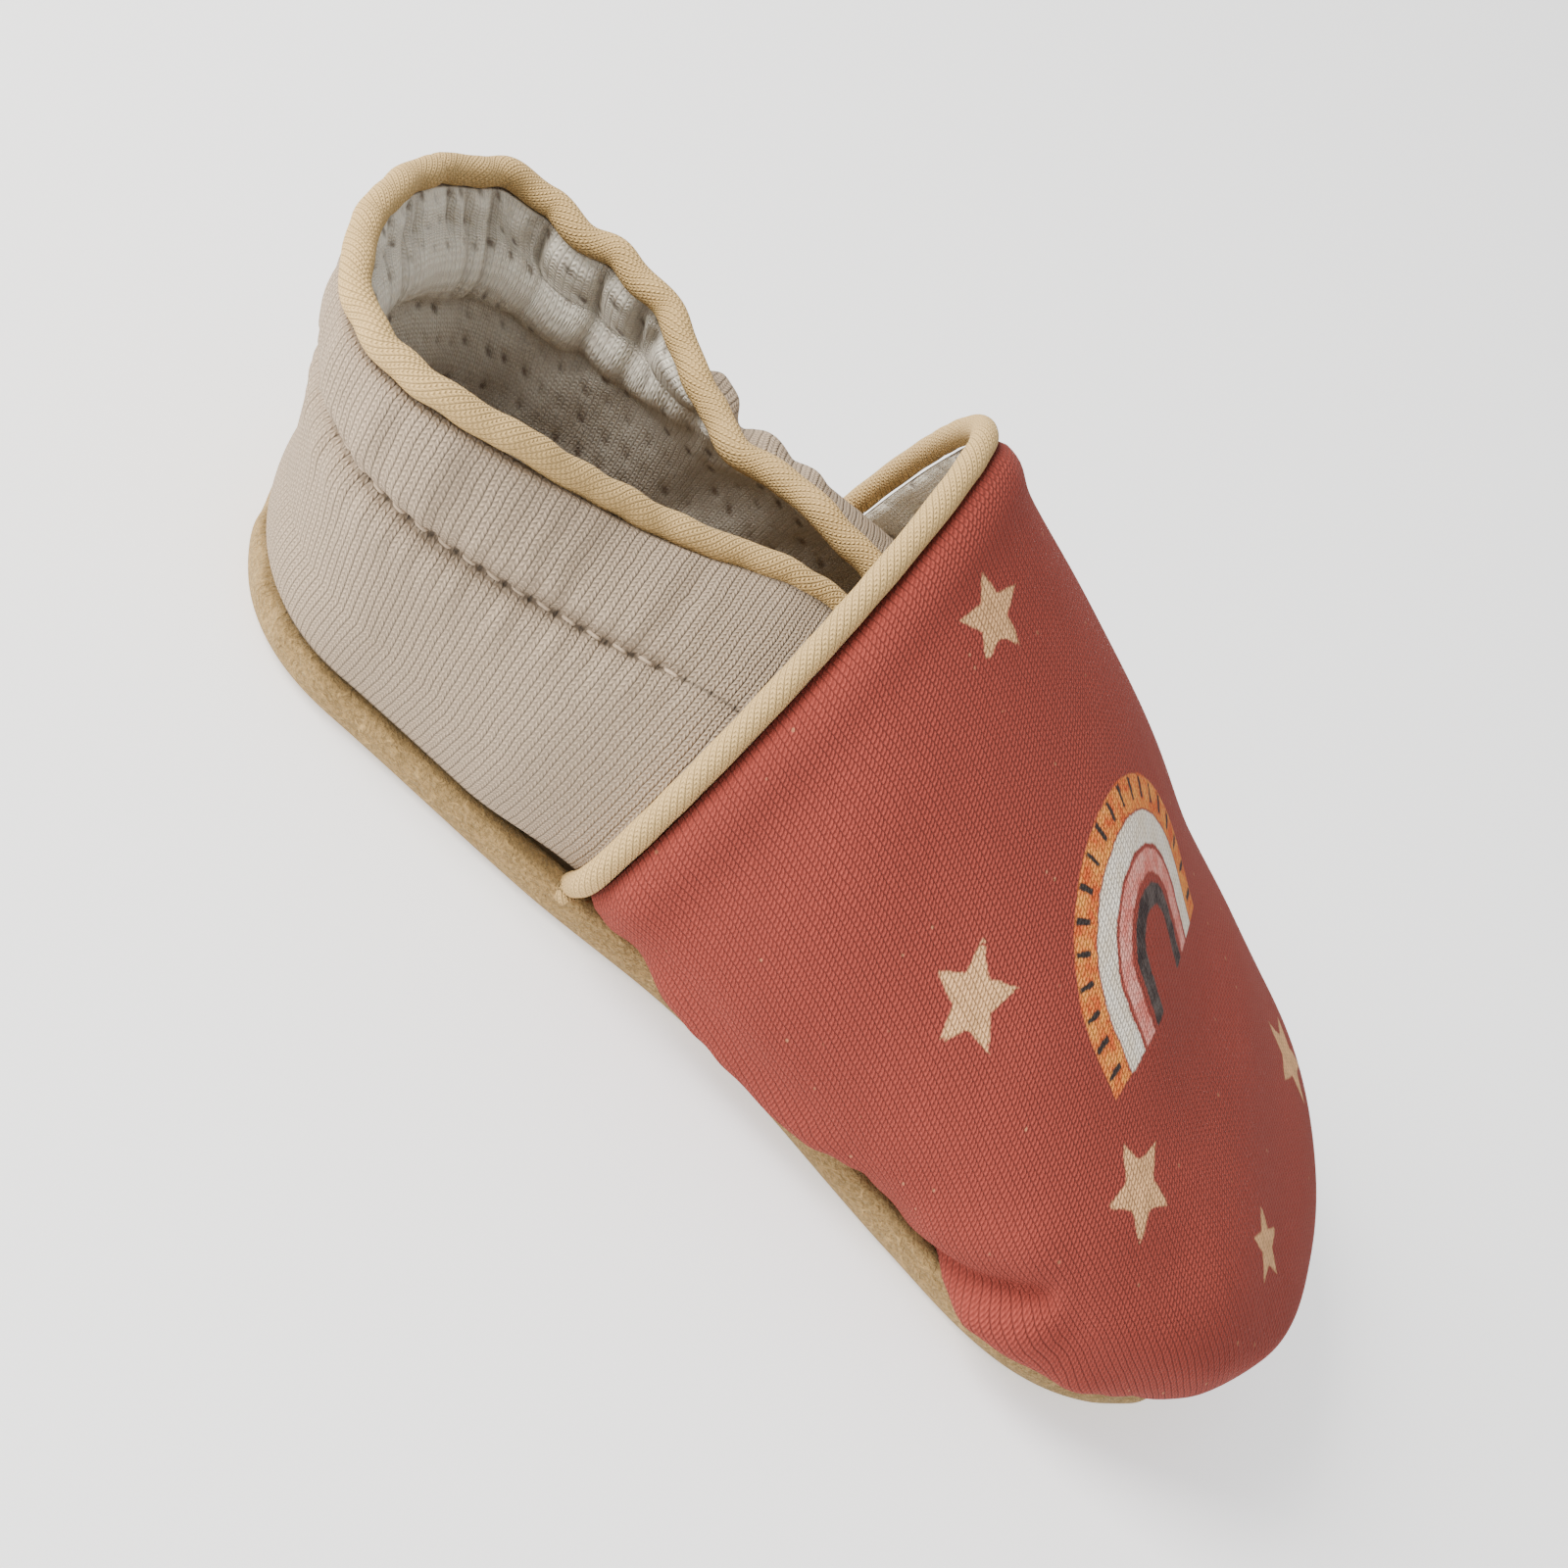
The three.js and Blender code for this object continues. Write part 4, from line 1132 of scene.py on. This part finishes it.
def build_pipings():
    """The two corded pipings, round sections carried along the collar and the vamp's edge"""
    colours = settings()[1]
    material = piping_jersey(colours)
    place = np.linspace(-1, 1, 420)
    rows = np.stack([np.full_like(place, 0.985), np.full_like(place, 1.0)])
    lines = quarter_surface(np.stack([place, place]), rows)
    upward = unit(lines[1] - lines[0])
    outward = unit(np.cross(upward, np.gradient(lines[1], axis=0)))
    path = lines[1] - outward * PIPING_SET + upward * (COLLAR_PIPING_RADIUS - 0.1)
    run = run_lengths(path[None], 1)[0]
    path += outward * ripple(run, "collar cord out")[:, None]
    path += upward * ripple(run, "collar cord up")[:, None]
    join = bell(run - 0.56 * run[-1], 0.45)
    radius = COLLAR_PIPING_RADIUS * (1 + ripple(run, "collar cord round") - 0.16 * join)
    dress(tube("collar_cord", path, outward, radius, material), "piping", "collar_piping")

    line = vamp_surface([0.0], 300, 40, VAMP_WALL + SEAM_GAP)[0]
    along = np.gradient(line, axis=0)
    along[:, 0] = 0
    along = unit(along)
    outward = np.stack([0 * along[:, 0], -along[:, 2], along[:, 1]], -1)
    ahead = np.array([VAMP_PIPING_RADIUS + 0.1, 0, 0])
    path = line + outward * (VAMP_PIPING_RADIUS + SEAM_GAP) - ahead
    path = path[path[:, 2] > SEAM_HEIGHT + 0.2]
    run = run_lengths(path[None], 1)[0]
    sunk = ease(1 - np.minimum(run, run[-1] - run) / 5.0)[:, None]
    inward = np.stack([0 * run, -np.sign(path[:, 1] - centre_line(path[:, 0])), 0 * run], -1)
    path = path + 0.7 * sunk * inward
    ends = [path[i] + 0.3 * inward[i] - np.array([0, 0, 1.8]) for i in (0, -1)]
    path = np.concatenate([ends[:1], path, ends[1:]])
    run = run_lengths(path[None], 1)[0]
    radius = VAMP_PIPING_RADIUS * (1 + ripple(run, "vamp cord round"))
    backward = np.tile([-1.0, 0, 0], (len(path), 1))
    dress(tube("vamp_cord", path, backward, radius, material), "piping", "vamp_piping")


def layered_outline(steps, stations, spine_rings):
    """Rings of the seam's outline from the middle of the underside out, up and back to the
    middle of the top. Each step gives an inset and a height; the middles draw each ring in to
    a spine on the centre line."""
    rings = []
    for inset, height in steps:
        level = np.full((2 * stations, 1), height)
        rings.append(np.concatenate([seam_outline(inset, stations), level], 1))
    bottom, top = rings[0], rings[-1]
    spine_x = np.clip(bottom[:, 0], 1.3 * HEEL_ROUND, LENGTH - 1.1 * TOE_ROUND)
    spine = np.stack([spine_x, centre_line(spine_x)], -1)
    shares = np.linspace(0, 1, spine_rings, endpoint=False)[1:]

    def drawn_in(ring, share):
        return np.concatenate([mix(ring[:, :2], spine, share), ring[:, 2:]], 1)

    under = [drawn_in(bottom, share) for share in (1, *shares[::-1])]
    over = [drawn_in(top, share) for share in (*shares, 1)]
    return np.stack([*under, *rings, *over]), len(under)


def smooth_steps(steps, count):
    """A rounded run through a profile's steps: each round of the count cuts every corner at a
    quarter of its two sides"""
    line = np.array(steps, float)
    for _ in range(count):
        quarter = mix(line[:-1], line[1:], 0.25)
        three = mix(line[:-1], line[1:], 0.75)
        line = np.concatenate([line[:1], np.stack([quarter, three], 1).reshape(-1, 2), line[-1:]])
    return line


def build_sole():
    """The suede sole: a flat tread with a turned-up rim that puckers a little at heel and toe"""
    colours = settings()[1]
    stations = 180
    profile = smooth_steps(
        [
            (2 * SOLE_WALL, 0.0),
            (0.9 * SOLE_WALL, 0.02 * SEAM_HEIGHT),
            (0.1 * SOLE_WALL, 0.3 * SEAM_HEIGHT),
            (-0.15 * SOLE_WALL, 0.68 * SEAM_HEIGHT),
            (-0.02 * SOLE_WALL, 1.0 * SEAM_HEIGHT),
            (0.5 * RIM_WALL, 1.06 * SEAM_HEIGHT),
            (RIM_WALL, 0.98 * SEAM_HEIGHT),
            (RIM_WALL, 1.3 * SOLE_WALL),
            (RIM_WALL + 0.6 * SOLE_WALL, SOLE_WALL),
        ],
        3,
    )
    grid, first = layered_outline(profile, stations, 16)
    x = grid[..., 0]
    height = grid[..., 2]
    run = run_lengths(grid[first + 10][None], 1)
    ends = 0.35 + 0.65 * ease((np.abs(x - LENGTH / 2) - 35) / 20)
    wave = ripple(run, "sole rim") * ends * ease((height - 1.0) / 3)
    outward = normals(grid, wrap=True)
    outward[..., 2] = 0
    rim = np.zeros(len(grid))
    rim[first : first + len(profile) // 2] = 1
    points = (grid + outward * (wave * rim[:, None])[..., None]).reshape(-1, 3)
    # The crease field is painted shade along the seam at the rim's top.
    fields = {"crease": 0.5 * bell(height - SEAM_HEIGHT, 0.5).ravel()}
    faces = quads(len(grid), 2 * stations, wrap=True)[:, ::-1]
    cover = napped_suede(colours)
    piece = make_mesh("suede_sole", points, faces, cover, None, fields, merge=True)
    dress(piece, "suede", "sole")


def build_footbed():
    """The footbed, a thin pad that dips a little along its middle, and the taped seam round it"""
    colours = settings()[1]
    low = SOLE_WALL + SEAM_GAP
    edge = RIM_WALL + SEAM_GAP
    profile = smooth_steps(
        [
            (edge + 0.6 * SOLE_WALL, low),
            (edge, low + 0.2 * FOOTBED_THICKNESS),
            (edge, low + 0.9 * FOOTBED_THICKNESS),
            (edge + 1.6, low + 1.08 * FOOTBED_THICKNESS),
            (edge + 5.0, low + 0.96 * FOOTBED_THICKNESS),
        ],
        2,
    )
    stations = 140
    grid = layered_outline(profile, stations, 24)[0]
    faces = quads(len(grid), 2 * stations, wrap=True)[:, ::-1]
    cover = felted_footbed(colours)
    piece = make_mesh("felt_footbed", grid.reshape(-1, 3), faces, cover, merge=True)
    dress(piece, "footbed", "footbed")


# Where the stitches end on each side, as a place along the quarter.
STITCHES_END = 0.89

# Half the length of a stitch's thread, as a share of a stitch with its gap.
THREAD_HALF = 0.34


def build_stitches():
    """The casing's stitch line: capsules laid end to end in the groove, as one joined mesh.
    Each is a round section along a short arc whose ends dip into the cloth."""
    sizes, colours = settings()
    place, run = casing_run()
    pitch = sizes.stitch / MM
    first = math.ceil(np.interp(-STITCHES_END, place, run) / pitch)
    last = math.floor(np.interp(STITCHES_END, place, run) / pitch)
    count = last - first + 1
    steps = 9
    reach = np.linspace(-1, 1, steps)
    at = (np.arange(first, last + 1)[:, None] + THREAD_HALF * reach[None]) * pitch
    spots = np.interp(at, run, place)
    centre = quarter_surface(spots, rise_at_casing(spots))
    above = quarter_surface(spots, rise_at_casing(spots) + 0.01)
    along = unit(np.gradient(centre, axis=1))
    upward = above - centre
    upward = unit(upward - along * np.sum(upward * along, -1, keepdims=True))
    outward = np.cross(upward, along)
    dip = -0.42 - 0.5 * reach**4
    centre = centre + outward * dip[None, :, None] + upward * (0.12 * reach)[None, :, None]
    sides = 8
    turn = np.linspace(0, 2 * math.pi, sides, endpoint=False)
    thick = sizes.thread / MM / 2 * np.sqrt(np.clip(1.02 - reach**4, 0.02, 1))
    ring = np.cos(turn)[:, None] * outward[:, :, None]
    ring = ring + np.sin(turn)[:, None] * upward[:, :, None]
    grid = centre[:, :, None] + ring * thick[None, :, None, None]
    one = quads(steps, sides, wrap=True)
    faces = (one[None] + (np.arange(count) * steps * sides)[:, None, None]).reshape(-1, 4)
    lids = []
    for end, order in ((0, 1), (steps - 1, -1)):
        base = (np.arange(count) * steps + end)[:, None] * sides
        for corners in ((0, 1, 2, 3), (0, 3, 4, 7), (4, 5, 6, 7)):
            lids.append((base + np.array(corners)[None])[:, ::order])
    faces = np.concatenate([faces, *lids])
    piece = make_mesh("casing_stitches", grid.reshape(-1, 3), faces, sewing_thread(colours))
    dress(piece, "piping")


# Stage and camera. The aim and the distance are in mm, the aim from the heel.

CAMERA_AZIMUTH = -10.8
CAMERA_ELEVATION = 30.9
CAMERA_ROLL = 47.0
CAMERA_DISTANCE = 335.2
CAMERA_AIM = (57.3, -3.6, 15.9)
FOCAL_PIXELS = 3560.0
IMAGE_PIXELS = 1600.0
SENSOR = 36.0

# Half width of the floor in metres, its glow, and the strength of the world's light.
FLOOR_HALF = 3.0
FLOOR_GLOW = 0.85
WORLD_LIGHT = 0.8

# Softboxes: each one's direction in shares of the camera's axes, its distance and size in
# metres, its power in watts and its tint.
SOFTBOXES = (
    {
        "name": "key softbox",
        "back": 0.8,
        "right": -0.45,
        "up": 0.95,
        "distance": 0.9,
        "size": 0.5,
        "power": 17.0,
        "tint": (1.0, 0.97, 0.93),
    },
    {
        "name": "fill softbox",
        "back": 0.9,
        "right": -0.9,
        "up": -0.2,
        "distance": 1.2,
        "size": 0.9,
        "power": 4.0,
        "tint": (0.96, 0.98, 1.0),
    },
)


def camera_axes():
    """Right, up and back of a camera at the azimuth (0 looks along +Y), elevation and roll"""
    azimuth = math.radians(CAMERA_AZIMUTH)
    elevation = math.radians(CAMERA_ELEVATION)
    roll = math.radians(CAMERA_ROLL)
    level = math.cos(elevation)
    back = Vector((math.sin(azimuth) * level, -math.cos(azimuth) * level, math.sin(elevation)))
    right = Vector((0, 0, 1)).cross(back).normalized()
    up = back.cross(right)
    turned_right = right * math.cos(roll) + up * math.sin(roll)
    turned_up = up * math.cos(roll) - right * math.sin(roll)
    return turned_right, turned_up, back


def aim_point():
    return Vector((np.array(CAMERA_AIM) + SHIFT) * MM)


def add_softbox(box, right, up, back):
    """A square soft light that looks at the slipper from its direction"""
    light = bpy.data.lights.new(box["name"], "AREA")
    light.size = box["size"]
    light.energy = box["power"]
    light.color = box["tint"]
    lamp = bpy.data.objects.new(box["name"], light)
    away = (back * box["back"] + right * box["right"] + up * box["up"]).normalized()
    lamp.location = aim_point() + away * box["distance"]
    lamp.rotation_euler = away.to_track_quat("Z", "Y").to_euler()
    bpy.context.scene.collection.objects.link(lamp)


def build_stage():
    """The floor, the lights and the camera"""
    half = FLOOR_HALF
    corners = np.array([[-half, -half, 0], [half, -half, 0], [half, half, 0], [-half, half, 0]])
    mesh = bpy.data.meshes.new("floor")
    mesh.from_pydata(corners.tolist(), [], [(0, 1, 2, 3)])
    material, tree = new_material("back-lit white acrylic")
    white = shade(hex_to_linear("FAFAFA"), 1.0)
    glow = {"Emission Color": white, "Emission Strength": FLOOR_GLOW}
    shader = add(tree, "BsdfPrincipled", None, {"Base Color": white, "Roughness": 0.9, **glow})
    add(tree, "OutputMaterial", None, {"Surface": shader})
    mesh.materials.append(material)
    floor = bpy.data.objects.new("floor", mesh)
    bpy.context.scene.collection.objects.link(floor)

    right, up, back = camera_axes()
    camera = bpy.data.cameras.new("camera")
    camera.sensor_width = SENSOR
    camera.lens = FOCAL_PIXELS / IMAGE_PIXELS * SENSOR
    holder = bpy.data.objects.new("camera", camera)
    rotation = Matrix((right, up, back)).transposed().to_4x4()
    holder.matrix_world = Matrix.Translation(aim_point() + back * CAMERA_DISTANCE * MM) @ rotation
    bpy.context.scene.collection.objects.link(holder)
    bpy.context.scene.camera = holder

    for box in SOFTBOXES:
        add_softbox(box, right, up, back)
    world = bpy.data.worlds.new("studio")
    world.use_nodes = True
    background = world.node_tree.nodes["Background"]
    background.inputs["Color"].default_value = (1.0, 1.0, 1.0, 1.0)
    background.inputs["Strength"].default_value = WORLD_LIGHT
    bpy.context.scene.world = world


class SlipperStep:
    """What the slipper's operators share: each runs its own build"""

    def execute(self, context):
        self.build()
        return {"FINISHED"}


class SLIPPER_OT_stage(SlipperStep, bpy.types.Operator):
    """Lays the floor and sets the lights and the camera"""

    bl_idname = "slipper.stage"
    bl_label = "Set the stage"
    build = staticmethod(build_stage)


class SLIPPER_OT_sole(SlipperStep, bpy.types.Operator):
    """Cuts the suede sole"""

    bl_idname = "slipper.sole"
    bl_label = "Cut the sole"
    build = staticmethod(build_sole)


class SLIPPER_OT_footbed(SlipperStep, bpy.types.Operator):
    """Lays the footbed"""

    bl_idname = "slipper.footbed"
    bl_label = "Lay the footbed"
    build = staticmethod(build_footbed)


class SLIPPER_OT_quarter(SlipperStep, bpy.types.Operator):
    """Sews the heel quarter and its lining"""

    bl_idname = "slipper.quarter"
    bl_label = "Sew the heel quarter"
    build = staticmethod(build_quarter)


class SLIPPER_OT_vamp(SlipperStep, bpy.types.Operator):
    """Sews the vamp and its lining"""

    bl_idname = "slipper.vamp"
    bl_label = "Sew the vamp"
    build = staticmethod(build_vamp)


class SLIPPER_OT_pipings(SlipperStep, bpy.types.Operator):
    """Sews on the collar's and the vamp's pipings"""

    bl_idname = "slipper.pipings"
    bl_label = "Sew on the pipings"
    build = staticmethod(build_pipings)


class SLIPPER_OT_stitches(SlipperStep, bpy.types.Operator):
    """Stitches the elastic's casing"""

    bl_idname = "slipper.stitches"
    bl_label = "Stitch the casing"
    build = staticmethod(build_stitches)


OPERATORS = (
    SLIPPER_OT_stage,
    SLIPPER_OT_sole,
    SLIPPER_OT_footbed,
    SLIPPER_OT_quarter,
    SLIPPER_OT_vamp,
    SLIPPER_OT_pipings,
    SLIPPER_OT_stitches,
)


class SLIPPER_PT_panel(bpy.types.Panel):
    """Lists the slipper's sizes, colours and steps"""

    bl_idname = "SLIPPER_PT_panel"
    bl_label = "Baby slipper"
    bl_space_type = "VIEW_3D"
    bl_region_type = "UI"
    bl_category = "Slipper"

    def draw(self, context):
        for group in (context.scene.slipper_sizes, context.scene.slipper_colours):
            for key in group.__annotations__:
                self.layout.prop(group, key)
        for operator in OPERATORS:
            self.layout.operator(operator.bl_idname)


CLASSES = (SlipperSizes, SlipperColours, *OPERATORS, SLIPPER_PT_panel)


def register():
    for each in CLASSES:
        bpy.utils.register_class(each)
    bpy.types.Scene.slipper_sizes = PointerProperty(type=SlipperSizes)
    bpy.types.Scene.slipper_colours = PointerProperty(type=SlipperColours)


def unregister():
    del bpy.types.Scene.slipper_colours
    del bpy.types.Scene.slipper_sizes
    for each in reversed(CLASSES):
        bpy.utils.unregister_class(each)


def main():
    """Makes the whole slipper"""
    register()
    for operator in OPERATORS:
        group, name = operator.bl_idname.split(".")
        getattr(getattr(bpy.ops, group), name)()


if __name__ == "__main__":
    main()
